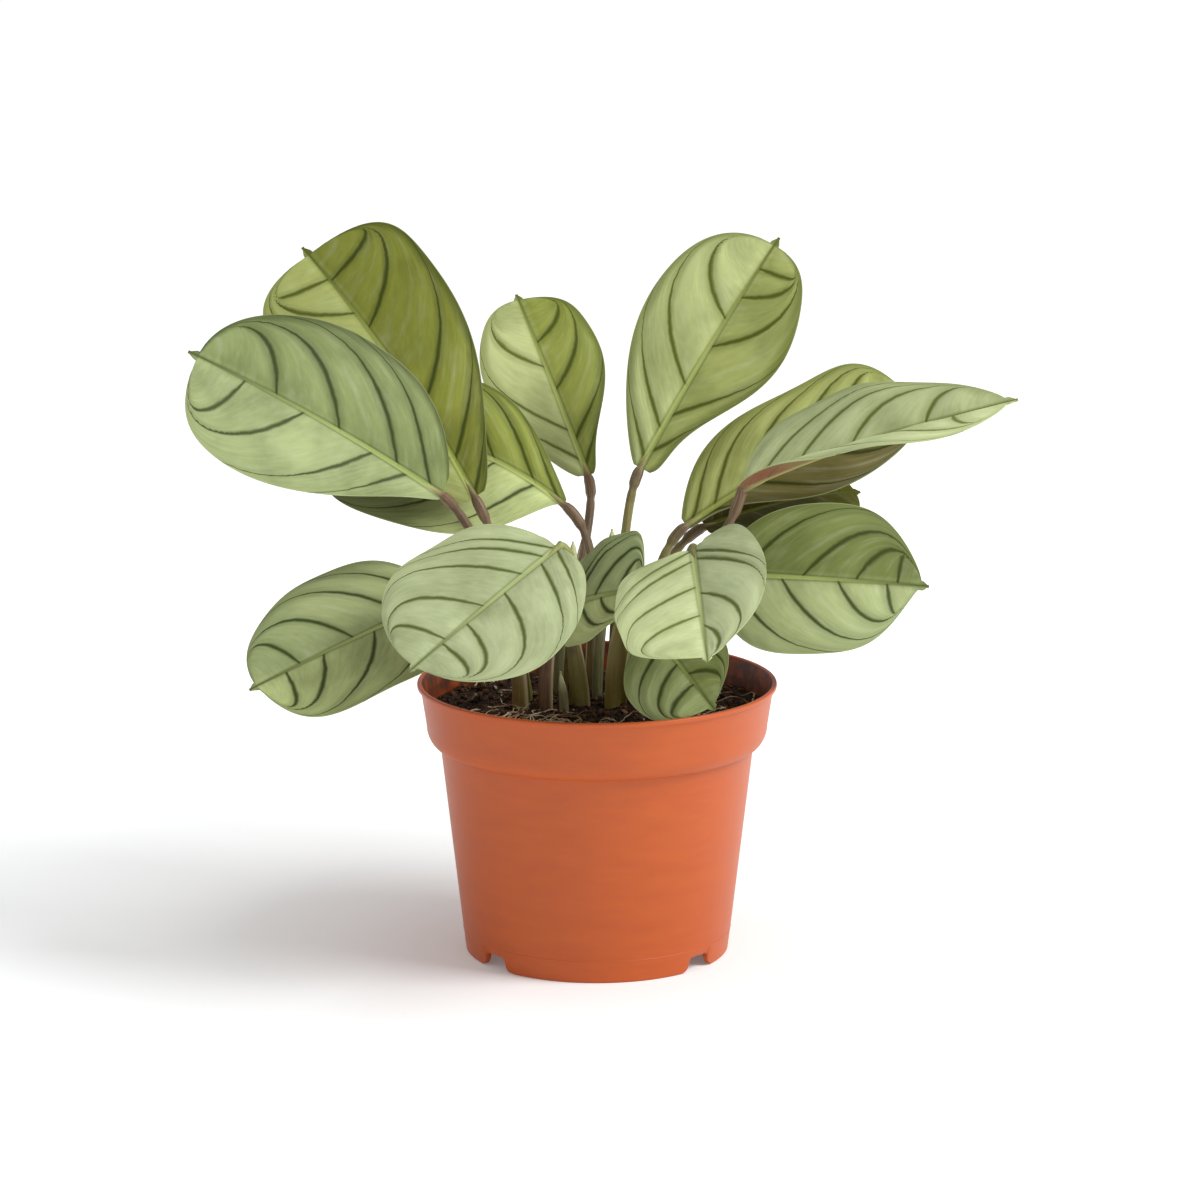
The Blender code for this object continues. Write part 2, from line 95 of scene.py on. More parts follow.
def add(tree, kind, inputs=None, out=0, **settings):
    """Add a shader node with its settings, and its inputs as values or links; give one output."""
    node = tree.nodes.new("ShaderNode" + kind)
    for name, value in settings.items():
        setattr(node, name, value)
    for key, value in (inputs or {}).items():
        if isinstance(value, bpy.types.NodeSocket):
            tree.links.new(value, node.inputs[key])
        else:
            node.inputs[key].default_value = value
    return node.outputs[out]


lens = bpy.data.cameras.new("camera")
lens.lens = CAMERA_LENS
camera = place("camera", lens, CAMERA_PLACE, (90 - CAMERA_DIP, 0, 0))
bpy.context.scene.camera = camera
bpy.context.scene.view_settings.view_transform = "Standard"

floor_mesh = bpy.data.meshes.new("floor")
half = FLOOR_SIZE / 2
floor_mesh.from_pydata([(-half, -half, 0), (half, -half, 0), (half, half, 0), (-half, half, 0)],
                       [], [(0, 1, 2, 3)])
floor = place("floor", floor_mesh)
floor_paper, tree, shader = new_material("matt_white_paper", 1.0, 1.5)
shader.inputs["Base Color"].default_value = linear("#F3F6F6")
shader.inputs["Specular IOR Level"].default_value = 0.0
shader.inputs["Emission Color"].default_value = linear("#FFFFFF")
where = add(tree, "TexCoord", out="Object")
away = add(tree, "VectorMath", {0: where}, out="Value", operation="LENGTH")
glow = add(tree, "MapRange", {"Value": away, "From Min": GLOW_REACH[0], "From Max": GLOW_REACH[1],
                              "To Min": FLOOR_GLOW[0], "To Max": FLOOR_GLOW[1]})
tree.links.new(glow, shader.inputs["Emission Strength"])
floor_mesh.materials.append(floor_paper)

world = bpy.data.worlds.new("white_studio")
bpy.context.scene.world = world
world.use_nodes = True
world.node_tree.nodes["Background"].inputs["Color"].default_value = linear("#FFFFFF")
world.node_tree.nodes["Background"].inputs["Strength"].default_value = WALL_LIGHT

key = bpy.data.lights.new("key_light", "AREA")
key.size = KEY_SIZE
key.energy = KEY_POWER
key_light = place("key_light", key, KEY_PLACE)
key_aim = Vector(KEY_TARGET) - Vector(KEY_PLACE)
key_light.rotation_euler = key_aim.to_track_quat("-Z", "Y").to_euler()

# ---- Nursery pot ----------------------------------------------------------------
# Polypropylene with terracotta pigment, moulded in one piece: a thin rolled lip, a
# band, a rounded shoulder, a tapered body, and a base rim cut into four feet round a
# raised floor with drain holes. Radii and heights are millimetres from the pot's axis.

MM = 0.001
pot_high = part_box("pot")[1]
LIP_RADIUS = pot_high.x / MM
POT_HEIGHT = pot_high.z / MM
LIP_HEIGHT = 1.6
LIP_WIDTH = 1.6
EDGE_ROUND = 0.5
BAND_TOP_RADIUS = 58.6
BAND_FOOT = (56.7, 77.5)
BAND_LEAN = 0.154           # how far the band's wall leans out, per millimetre of height
BODY_TOP = (52.1, 70.5)
BASE_RADIUS = 43.9
WALL = 1.2
FLOOR_Z = 7.0
FOOT_WIDTH = 1.8
PARTING_Z = 7.6             # faint line where the mould's halves meet
PARTING_PROUD = 0.10
NOTCH_ANGLES = (-130, -50, 50, 130)     # about +Z, from the front
NOTCH_HALF_WIDTH = 4.7
NOTCH_HEIGHT = 5.0
NOTCH_FLARE = 4.0
NOTCH_CORNER = 1.0
DRAIN_HOLES = 8
DRAIN_HOLE_RADIUS = 3.5
DRAIN_CIRCLE_RADIUS = 31.0
POT_SIDES = 200
LIP_FILLET = 0.4
DUST_AND_SHADE_LINE = (0.0443, 0.0440)    # metres from the axis, the band's lean taken off
DUST_AND_SHADE_FOOT = (0.078, 0.080)      # metres above the floor
AS_COLOUR = dict(out=2, data_type="RGBA")       # settings of a Mix node that mixes colours


def finish_mesh(name, mesh, materials, nodes, sharp=40):
    """Scale a millimetre mesh to metres, smooth it, and set it in place of its CAD nodes."""
    mesh.transform(Matrix.Scale(MM, 4))
    mesh.shade_smooth()
    mesh.set_sharp_from_angle(angle=math.radians(sharp))
    for material in materials:
        mesh.materials.append(material)
    piece = place(name, mesh)
    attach(piece, "root")
    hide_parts(*nodes)
    return piece


def mesh_from(maker, name):
    """Turn a bmesh into a mesh with its normals outwards."""
    bmesh.ops.recalc_face_normals(maker, faces=maker.faces)
    mesh = bpy.data.meshes.new(name)
    maker.to_mesh(mesh)
    maker.free()
    return mesh


def join_rings(maker, rings):
    """Faces from each closed ring of vertices to the next, and a cap on both ends."""
    for inner, outer in zip(rings, rings[1:]):
        for i in range(len(inner)):
            j = (i + 1) % len(inner)
            maker.faces.new((inner[i], inner[j], outer[j], outer[i]))
    maker.faces.new(rings[0])
    maker.faces.new(rings[-1])


def arc(centre, radius, start, end, count):
    """Points of an arc in the (radius, z) plane, angles in degrees."""
    turns = np.radians(np.linspace(start, end, count))
    return [(centre[0] + radius * math.cos(t), centre[1] + radius * math.sin(t)) for t in turns]


def shoulder(inset, lift, count=14):
    """Rounded step from the body out to the band, bottom to top."""
    reach = BAND_FOOT[0] - BODY_TOP[0]
    height = BAND_FOOT[1] - BODY_TOP[1]
    turns = np.radians(np.linspace(0, 90, count))
    return [(BODY_TOP[0] - inset + reach * math.sin(t), BAND_FOOT[1] + lift - height * math.cos(t))
            for t in turns]


def notch_top(distance):
    """Height of a notch at a distance along the rim from its middle."""
    if distance <= NOTCH_HALF_WIDTH - NOTCH_CORNER:
        return NOTCH_HEIGHT
    if distance <= NOTCH_HALF_WIDTH:
        return NOTCH_HEIGHT - (distance - NOTCH_HALF_WIDTH + NOTCH_CORNER)
    inwards = NOTCH_HALF_WIDTH + NOTCH_FLARE - distance
    return NOTCH_FLARE - math.sqrt(NOTCH_FLARE ** 2 - max(inwards, 0) ** 2)


taper = (BODY_TOP[0] - BASE_RADIUS) / BODY_TOP[1]
foot_inside = BASE_RADIUS - FOOT_WIDTH
lip_foot = POT_HEIGHT - LIP_HEIGHT
lip_top = POT_HEIGHT - EDGE_ROUND
pot_profile = [(0, FLOOR_Z), (foot_inside - 1, FLOOR_Z), (foot_inside, FLOOR_Z - 0.4),
               (foot_inside, 0), (BASE_RADIUS - EDGE_ROUND, 0), (BASE_RADIUS, EDGE_ROUND)]
for rise in (-0.5, -0.15, 0, 0.15, 0.5):
    proud = PARTING_PROUD if rise == 0 else 0
    pot_profile.append((BASE_RADIUS + taper * (PARTING_Z + rise) + proud, PARTING_Z + rise))
pot_profile += [(BASE_RADIUS + taper * z, z) for z in np.linspace(12, BODY_TOP[1] - 3, 8)]
pot_profile += shoulder(0, 0)
pot_profile += [(BAND_TOP_RADIUS - 0.15, lip_foot - 2 * LIP_FILLET)]
pot_profile += arc((BAND_TOP_RADIUS + LIP_FILLET, lip_foot - LIP_FILLET), LIP_FILLET, 180, 90, 4)
pot_profile += arc((LIP_RADIUS - EDGE_ROUND, lip_foot + EDGE_ROUND), EDGE_ROUND, -90, 0, 5)
pot_profile += arc((LIP_RADIUS - EDGE_ROUND, lip_top), EDGE_ROUND, 0, 90, 5)
pot_profile += arc((LIP_RADIUS - LIP_WIDTH + EDGE_ROUND, lip_top), EDGE_ROUND, 90, 180, 5)
pot_profile += [(BAND_TOP_RADIUS - WALL, lip_foot)]
pot_profile += shoulder(WALL, WALL / 2)[::-1]
pot_profile += [(BASE_RADIUS - WALL + taper * z, z) for z in (50, 30, FLOOR_Z + WALL + 1.5)]
pot_profile += [(BASE_RADIUS - WALL - 1, FLOOR_Z + WALL), (0, FLOOR_Z + WALL)]

# Millimetres from a notch's middle, closest together where its outline turns.
notch_steps = (0, 2, 3.7, 4.2, 4.55, 4.7, 4.72, 4.8, 5.0, 5.4, 5.9, 6.5, 7.2, 8.0, 8.7)
turns = [math.tau * i / POT_SIDES for i in range(POT_SIDES)]
cut_turns = [math.radians(angle - 90) % math.tau for angle in NOTCH_ANGLES]
mouth = NOTCH_HALF_WIDTH + NOTCH_FLARE
turns = [t for t in turns
         if all(abs(t - cut) * BASE_RADIUS > mouth + 0.3 for cut in cut_turns)]
for cut in cut_turns:
    turns += [cut + sign * step / BASE_RADIUS for step in notch_steps for sign in (-1, 1)]
turns = sorted({round(t, 6) for t in turns})

mesh_maker = bmesh.new()
rings = []
for radius, z in pot_profile[1:-1]:
    ring = []
    for t in turns:
        top = max(notch_top(min(abs(t - cut) * BASE_RADIUS, mouth)) for cut in cut_turns)
        ring.append(mesh_maker.verts.new((radius * math.cos(t), radius * math.sin(t), max(z, top))))
    rings.append(ring)
join_rings(mesh_maker, rings)
pot_mesh = mesh_from(mesh_maker, "nursery_pot")

mesh_maker = bmesh.new()
for i in range(DRAIN_HOLES):
    turn = math.tau * (i + 0.5) / DRAIN_HOLES
    made = bmesh.ops.create_cone(mesh_maker, cap_ends=True, segments=32, depth=4 * WALL,
                                 radius1=DRAIN_HOLE_RADIUS, radius2=DRAIN_HOLE_RADIUS)
    spot = (DRAIN_CIRCLE_RADIUS * math.cos(turn), DRAIN_CIRCLE_RADIUS * math.sin(turn),
            FLOOR_Z + WALL / 2)
    bmesh.ops.translate(mesh_maker, verts=made["verts"], vec=spot)
blank = place("pot_blank", pot_mesh)
drill = place("drain_drill", mesh_from(mesh_maker, "drain_drill"))
drilling = blank.modifiers.new("drain_holes", "BOOLEAN")
drilling.object = drill
drilling.solver = "EXACT"
evaluated = blank.evaluated_get(bpy.context.evaluated_depsgraph_get())
drilled_mesh = bpy.data.meshes.new_from_object(evaluated)
bpy.data.objects.remove(blank)
bpy.data.objects.remove(drill)

def dress(tree, shader, colour, height, depth, strength):
    """Give a shader its colour, and relief from a height, with its depth in metres."""
    relief = add(tree, "Bump", {"Height": height, "Distance": depth, "Strength": strength})
    tree.links.new(colour, shader.inputs["Base Color"])
    tree.links.new(relief, shader.inputs["Normal"])


# Satin moulded polypropylene: an even pigment with slight flow marks, a fine pebbled
# skin about 0.6 mm across that breaks up the gloss, and inside the lip a painted shade
# that darkens the inner wall, mottled with soil dust.
polypropylene, tree, shader = new_material("satin_moulded_polypropylene", 0.42, 1.49)
where = add(tree, "TexCoord", out="Object")
flow_place = add(tree, "Mapping", {"Vector": where, "Scale": (60, 60, 260)})
flow = add(tree, "TexNoise", {"Vector": flow_place, "Scale": 1.0, "Detail": 4.0})
pigment = add(tree, "Mix", {0: flow, 6: linear("#B34B0C"), 7: linear("#C45916")}, **AS_COLOUR)
dust_and_shade_noise = add(tree, "TexNoise", {"Vector": where, "Scale": 240.0, "Detail": 5.0})
height = add(tree, "SeparateXYZ", {0: where}, out="Z")
from_axis = add(tree, "VectorMath", {0: where, 1: (1, 1, 0)}, operation="MULTIPLY")
from_axis = add(tree, "VectorMath", {0: from_axis}, out="Value", operation="LENGTH")
band_lean = add(tree, "Math", {0: height, 1: BAND_LEAN}, operation="MULTIPLY")
from_axis = add(tree, "Math", {0: from_axis, 1: band_lean}, operation="SUBTRACT")
inside, above = (add(tree, "MapRange", {"Value": value, "From Min": start, "From Max": full})
                 for value, (start, full) in ((from_axis, DUST_AND_SHADE_LINE), (height, DUST_AND_SHADE_FOOT)))
inside = add(tree, "Math", {0: inside, 1: above}, operation="MULTIPLY")
# Painted shade mottled with soil dust: the inner wall above the soil goes 35 to 95 per cent of the
# way to dark brown.
dust_and_shade = add(tree, "MapRange", {"Value": dust_and_shade_noise, "From Min": 0.36, "From Max": 0.60,
                              "To Min": 0.35, "To Max": 0.95})
dust_and_shade = add(tree, "Math", {0: dust_and_shade, 1: inside}, operation="MULTIPLY")
dusty_and_shaded = add(tree, "Mix", {0: dust_and_shade, 6: pigment, 7: linear("#55301C")}, **AS_COLOUR)
pebble = add(tree, "TexNoise", {"Vector": where, "Scale": 1600.0, "Detail": 2.0})
gloss = add(tree, "MapRange", {"Value": flow, "To Min": 0.36, "To Max": 0.50})
tree.links.new(gloss, shader.inputs["Roughness"])
dress(tree, shader, dusty_and_shaded, pebble, 0.00004, 0.5)

finish_mesh("nursery_pot", drilled_mesh, [polypropylene], ["pot"], sharp=35)

# ---- Potting soil ---------------------------------------------------------------
# Moist peat with fine bark, mounded a little towards the plant's crown. Loose crumbs,
# bark chips and pale grit lie all over it, and dry root fibres, most of them in front.

SOIL_EDGE_Z = 82.6
SOIL_CROWN_Z = 85.2
SOIL_LOW = 0.6              # how far the mean surface lies under the CAD's, as clods rise over it
SOIL_RADIUS = 55.8
SOIL_RINGS = 70
SOIL_SECTORS = 200
SOIL_SIDE = [(55.0, 78.5), (50.4, 70.5), (49.6, 64.0), (43.4, 10.0)]
CLOD_SIZE = 7.0
CLOD_HEIGHT = 1.3
GRAIN_SIZE = 2.2
GRAIN_HEIGHT = 0.7
CRUMBS = 2600
CHIPS = 45
GRITS = 60
FIBRES = 115
FIBRE_SIDES = 5
FIBRE_STEP = 1.3
FIBRE_STEPS = (6, 20)       # fewest, and one more than the most
FIBRE_HALF_THICKNESS = (0.14, 0.32)
FIBRE_LIFT = (0.2, 1.6)     # how high the middle arches over the ends
FIBRE_SPREAD = 52
FIBRE_CLEAR = 0.35          # how far a fibre's ends lie above the soil
FIBRES_HEAPED = (-115, 26)  # about +Z: middle and spread of the side where most fibres lie
FIBRE_LIMIT = 54            # a fibre that runs out further than this turns aside
LUMP_RISE = 0.22            # how far a lump's middle lies over the soil, per its own height


def soil_top(x, y):
    """Height of the soil's surface."""
    share = math.hypot(x, y) / SOIL_RADIUS
    clods = noise.noise(Vector((x, y, 3)) / CLOD_SIZE)
    grains = noise.noise(Vector((x, y, 9)) / GRAIN_SIZE)
    level = SOIL_CROWN_Z - (SOIL_CROWN_Z - SOIL_EDGE_Z) * share ** 2 - SOIL_LOW
    return level + CLOD_HEIGHT * clods + GRAIN_HEIGHT * grains


mesh_maker = bmesh.new()
turns = [math.tau * i / SOIL_SECTORS for i in range(SOIL_SECTORS)]
rings = []
for share in np.linspace(0.02, 1, SOIL_RINGS):
    spots = [(SOIL_RADIUS * share * math.cos(t), SOIL_RADIUS * share * math.sin(t)) for t in turns]
    rings.append([mesh_maker.verts.new((x, y, soil_top(x, y))) for x, y in spots])
for radius, z in SOIL_SIDE:
    rings.append([mesh_maker.verts.new((radius * math.cos(t), radius * math.sin(t), z))
                  for t in turns])
join_rings(mesh_maker, rings)
soil_mesh = mesh_from(mesh_maker, "potting_soil_mound")

# Peat is matt and almost black when moist, with brown fibre flecks about 1 mm across.
peat, tree, shader = new_material("moist_peat", 0.95, 1.4)
where = add(tree, "TexCoord", out="Object")
coarse = add(tree, "TexNoise", {"Vector": where, "Scale": 180.0, "Detail": 6.0})
fine = add(tree, "TexNoise", {"Vector": where, "Scale": 900.0, "Detail": 4.0})
damp = add(tree, "MapRange", {"Value": coarse, "From Min": 0.35, "From Max": 0.65})
peat_colour = add(tree, "Mix", {0: damp, 6: linear("#120C07"), 7: linear("#3C2815")}, **AS_COLOUR)
fleck = add(tree, "MapRange", {"Value": fine, "From Min": 0.56, "From Max": 0.70})
peat_colour = add(tree, "Mix", {0: fleck, 6: peat_colour, 7: linear("#8A6848")}, **AS_COLOUR)
dress(tree, shader, peat_colour, fine, 0.0010, 1.0)
finish_mesh("potting_soil_mound", soil_mesh, [peat], ["potting_soil"],
            sharp=180)


def scatter(name, count, sizes, stretch, spread, tones, seed, material):
    """Rough lumps lying on the soil, each with its own tone from 0 to 1."""
    draw = np.random.default_rng(seed)
    maker = bmesh.new()
    tone_layer = maker.verts.layers.float.new("tone")
    for _ in range(count):
        radius = spread * math.sqrt(draw.random())
        turn = math.tau * draw.random()
        x, y = radius * math.cos(turn), radius * math.sin(turn)
        size = sizes[0] + (sizes[1] - sizes[0]) * draw.random() ** 3
        lump = bmesh.ops.create_icosphere(maker, subdivisions=1, radius=1)["verts"]
        tilt = Euler((draw.normal(0, 0.5), draw.normal(0, 0.5), math.tau * draw.random()))
        shape = [axis * (0.8 + 0.4 * draw.random()) for axis in stretch]
        tone = tones[0] + (tones[1] - tones[0]) * draw.random()
        for vert in lump:
            knobbly = 1 + draw.normal(0, 0.16)
            spot = Vector([c * axis * knobbly * size / 2 for c, axis in zip(vert.co, shape)])
            spot.rotate(tilt)
            vert.co = spot + Vector((x, y, soil_top(x, y) + LUMP_RISE * size * shape[2]))
            vert[tone_layer] = tone
    finish_mesh(name, mesh_from(maker, name), [material], [],
                sharp=50)


# Crumbs, bark and grit: matt, dark to pale by each lump's own tone.
def lump_material(name, dark, pale):
    material, tree, shader = new_material(name, 0.9, 1.45)
    tone = add(tree, "Attribute", out="Fac", attribute_name="tone")
    where = add(tree, "TexCoord", out="Object")
    grain = add(tree, "TexNoise", {"Vector": where, "Scale": 1100.0, "Detail": 4.0})
    grain = add(tree, "MapRange", {"Value": grain, "To Min": -0.25, "To Max": 0.25})
    tone = add(tree, "Math", {0: tone, 1: grain}, operation="ADD", use_clamp=True)
    colour = add(tree, "Mix", {0: tone, 6: linear(dark), 7: linear(pale)}, **AS_COLOUR)
    dress(tree, shader, colour, grain, 0.0003, 0.7)
    return material


scatter("peat_crumbs", CRUMBS, sizes=(0.6, 2.8), stretch=(1, 0.9, 0.8), spread=54.3,
        tones=(0, 1), seed=11, material=lump_material("dry_peat_crumb", "#140C06", "#664628"))
scatter("bark_chips", CHIPS, sizes=(1.6, 4.5), stretch=(1.6, 0.6, 0.35), spread=53,
        tones=(0, 1), seed=12, material=lump_material("composted_bark", "#3A2416", "#8A6544"))
scatter("pale_grit", GRITS, sizes=(0.6, 1.7), stretch=(1, 0.9, 0.8), spread=53,
        tones=(0.3, 1), seed=13, material=lump_material("cream_grit", "#B8A888", "#F0E8D4"))

# Dry root fibres: pale, matt, about half a millimetre thick, curling over the soil.
draw = np.random.default_rng(14)
mesh_maker = bmesh.new()
for number in range(FIBRES):
    radius = FIBRE_SPREAD * math.sqrt(draw.uniform(0.25, 1))
    turn = math.radians(draw.normal(*FIBRES_HEAPED) if number % 3 else draw.uniform(0, 360))
    x, y = radius * math.cos(turn), radius * math.sin(turn)
    heading = math.tau * draw.random()
    bend = draw.normal(0, 0.25)
    lift = draw.uniform(*FIBRE_LIFT)
    steps = int(draw.integers(*FIBRE_STEPS))
    half_thickness = draw.uniform(*FIBRE_HALF_THICKNESS)
    rings = []
    for step in range(steps):
        share = step / (steps - 1)
        z = soil_top(x, y) + FIBRE_CLEAR + lift * math.sin(math.pi * share)
        side = Vector((-math.sin(heading), math.cos(heading), 0))
        girth = half_thickness * (1 - 0.7 * share ** 2)
        ring = []
        for k in range(FIBRE_SIDES):
            turn = math.tau * k / FIBRE_SIDES
            offset = side * math.cos(turn) * girth + Vector((0, 0, math.sin(turn) * girth))
            ring.append(mesh_maker.verts.new(Vector((x, y, z)) + offset))
        rings.append(ring)
        bend += draw.normal(0, 0.12)
        heading += bend * 0.6
        x += FIBRE_STEP * math.cos(heading)
        y += FIBRE_STEP * math.sin(heading)
        if math.hypot(x, y) > FIBRE_LIMIT:
            heading += math.pi / 2
    join_rings(mesh_maker, rings)
fibre_mesh = mesh_from(mesh_maker, "root_fibres")
dry_root, tree, shader = new_material("dry_root_fibre", 0.8, 1.5)
where = add(tree, "TexCoord", out="Object")
stain = add(tree, "TexNoise", {"Vector": where, "Scale": 120.0, "Detail": 4.0})
stain = add(tree, "MapRange", {"Value": stain, "From Min": 0.35, "From Max": 0.65})
root_colour = add(tree, "Mix", {0: stain, 6: linear("#8C6C48"), 7: linear("#F0E2BE")}, **AS_COLOUR)
tree.links.new(root_colour, shader.inputs["Base Color"])
finish_mesh("root_fibres", fibre_mesh, [dry_root], [], sharp=60)

# ---- Leaf blades ----------------------------------------------------------------
# Fourteen living leaves, 0.3 to 0.5 mm thick: oval, silvery green above and purplish
# brown below, each with a drip tip. Veins leave the midrib, sweep out and run forward
# along the margin; the blade quilts up a little between them. Millimetres throughout.

WIDTH_PLACES = np.array((0.1, 0.3, 0.5, 0.7, 0.9))     # shares of the midrib
REACH_WIDTH = 30.0          # half width at which lead and lobe reach their full length
BLUNT_END = 0.965
SPUR_START = 0.9
SPUR_HALF_WIDTH = 1.6
SPUR_TAPER = 60.0
LEAST_HALF_WIDTH = 0.45
EDGE_LAG = 0.35
BLADE_START = 0.012
STATIONS = 131              # rows from base to tip
HALF_COLUMNS = 32           # columns from the midrib to each edge
RIB_THICKNESS = 0.50
EDGE_THICKNESS = 0.30
RIB_SPREAD = 6.0            # how far from the midrib the blade is still thicker
RIB_GROOVE = (0.30, 0.8)    # depth and half width of the midrib's groove above
RIB_KEEL = (0.75, 1.0)      # height and half width of the midrib's keel below
RIB_FADE = 0.75             # share of the groove and keel lost by the tip
QUILT_HEIGHT = 0.45
QUILT_EDGE = 4              # how far from midrib and margin the quilting is full
VEIN_HALF_WIDTH = 0.75
PITCH_RANGE = (3, 60)       # millimetres from vein to vein
VEIN_BEYOND = 0.16          # spacing of the unseen veins past the first and the last
VEIN_CURVE = 0.95           # the nearer to 1, the more sharply a vein turns at the margin
TIP_SLACK = 0.6             # how much less the veins next to the tip sweep forward

SOFTLY = dict(interpolation_type="SMOOTHSTEP")  # settings of a MapRange node that eases in and out

# Silver panel and dark vein of each tone that the leaves show, with the light and shade
# that fall on them painted in: palest on the old leaves in full light, yellower on the
# thin upright ones, and the deepest tones are painted shade on halves that hang in shade.
LIT_AND_SHADED_LEAF_TONES = {
    "pale_silver": ("#C9D39E", "#5C6A20"),
    "silver": ("#B8C294", "#485410"),
    "sage": ("#A4B07A", "#2C3A08"),
    "fresh": ("#C2CE8A", "#2A3608"),
    "lime": ("#BAC385", "#4E5808"),
    "yellow_green": ("#A8B068", "#464E0C"),
    "olive": ("#969F4A", "#3C4608"),
    "olive_deep": ("#848A38", "#323A08"),
    "moss": ("#86925C", "#2A3408"),
    "deep": ("#747F46", "#303A08"),
    "bronze": ("#6C6438", "#2A3208"),
    "shade": ("#4A4C06", "#484A0A"),
}
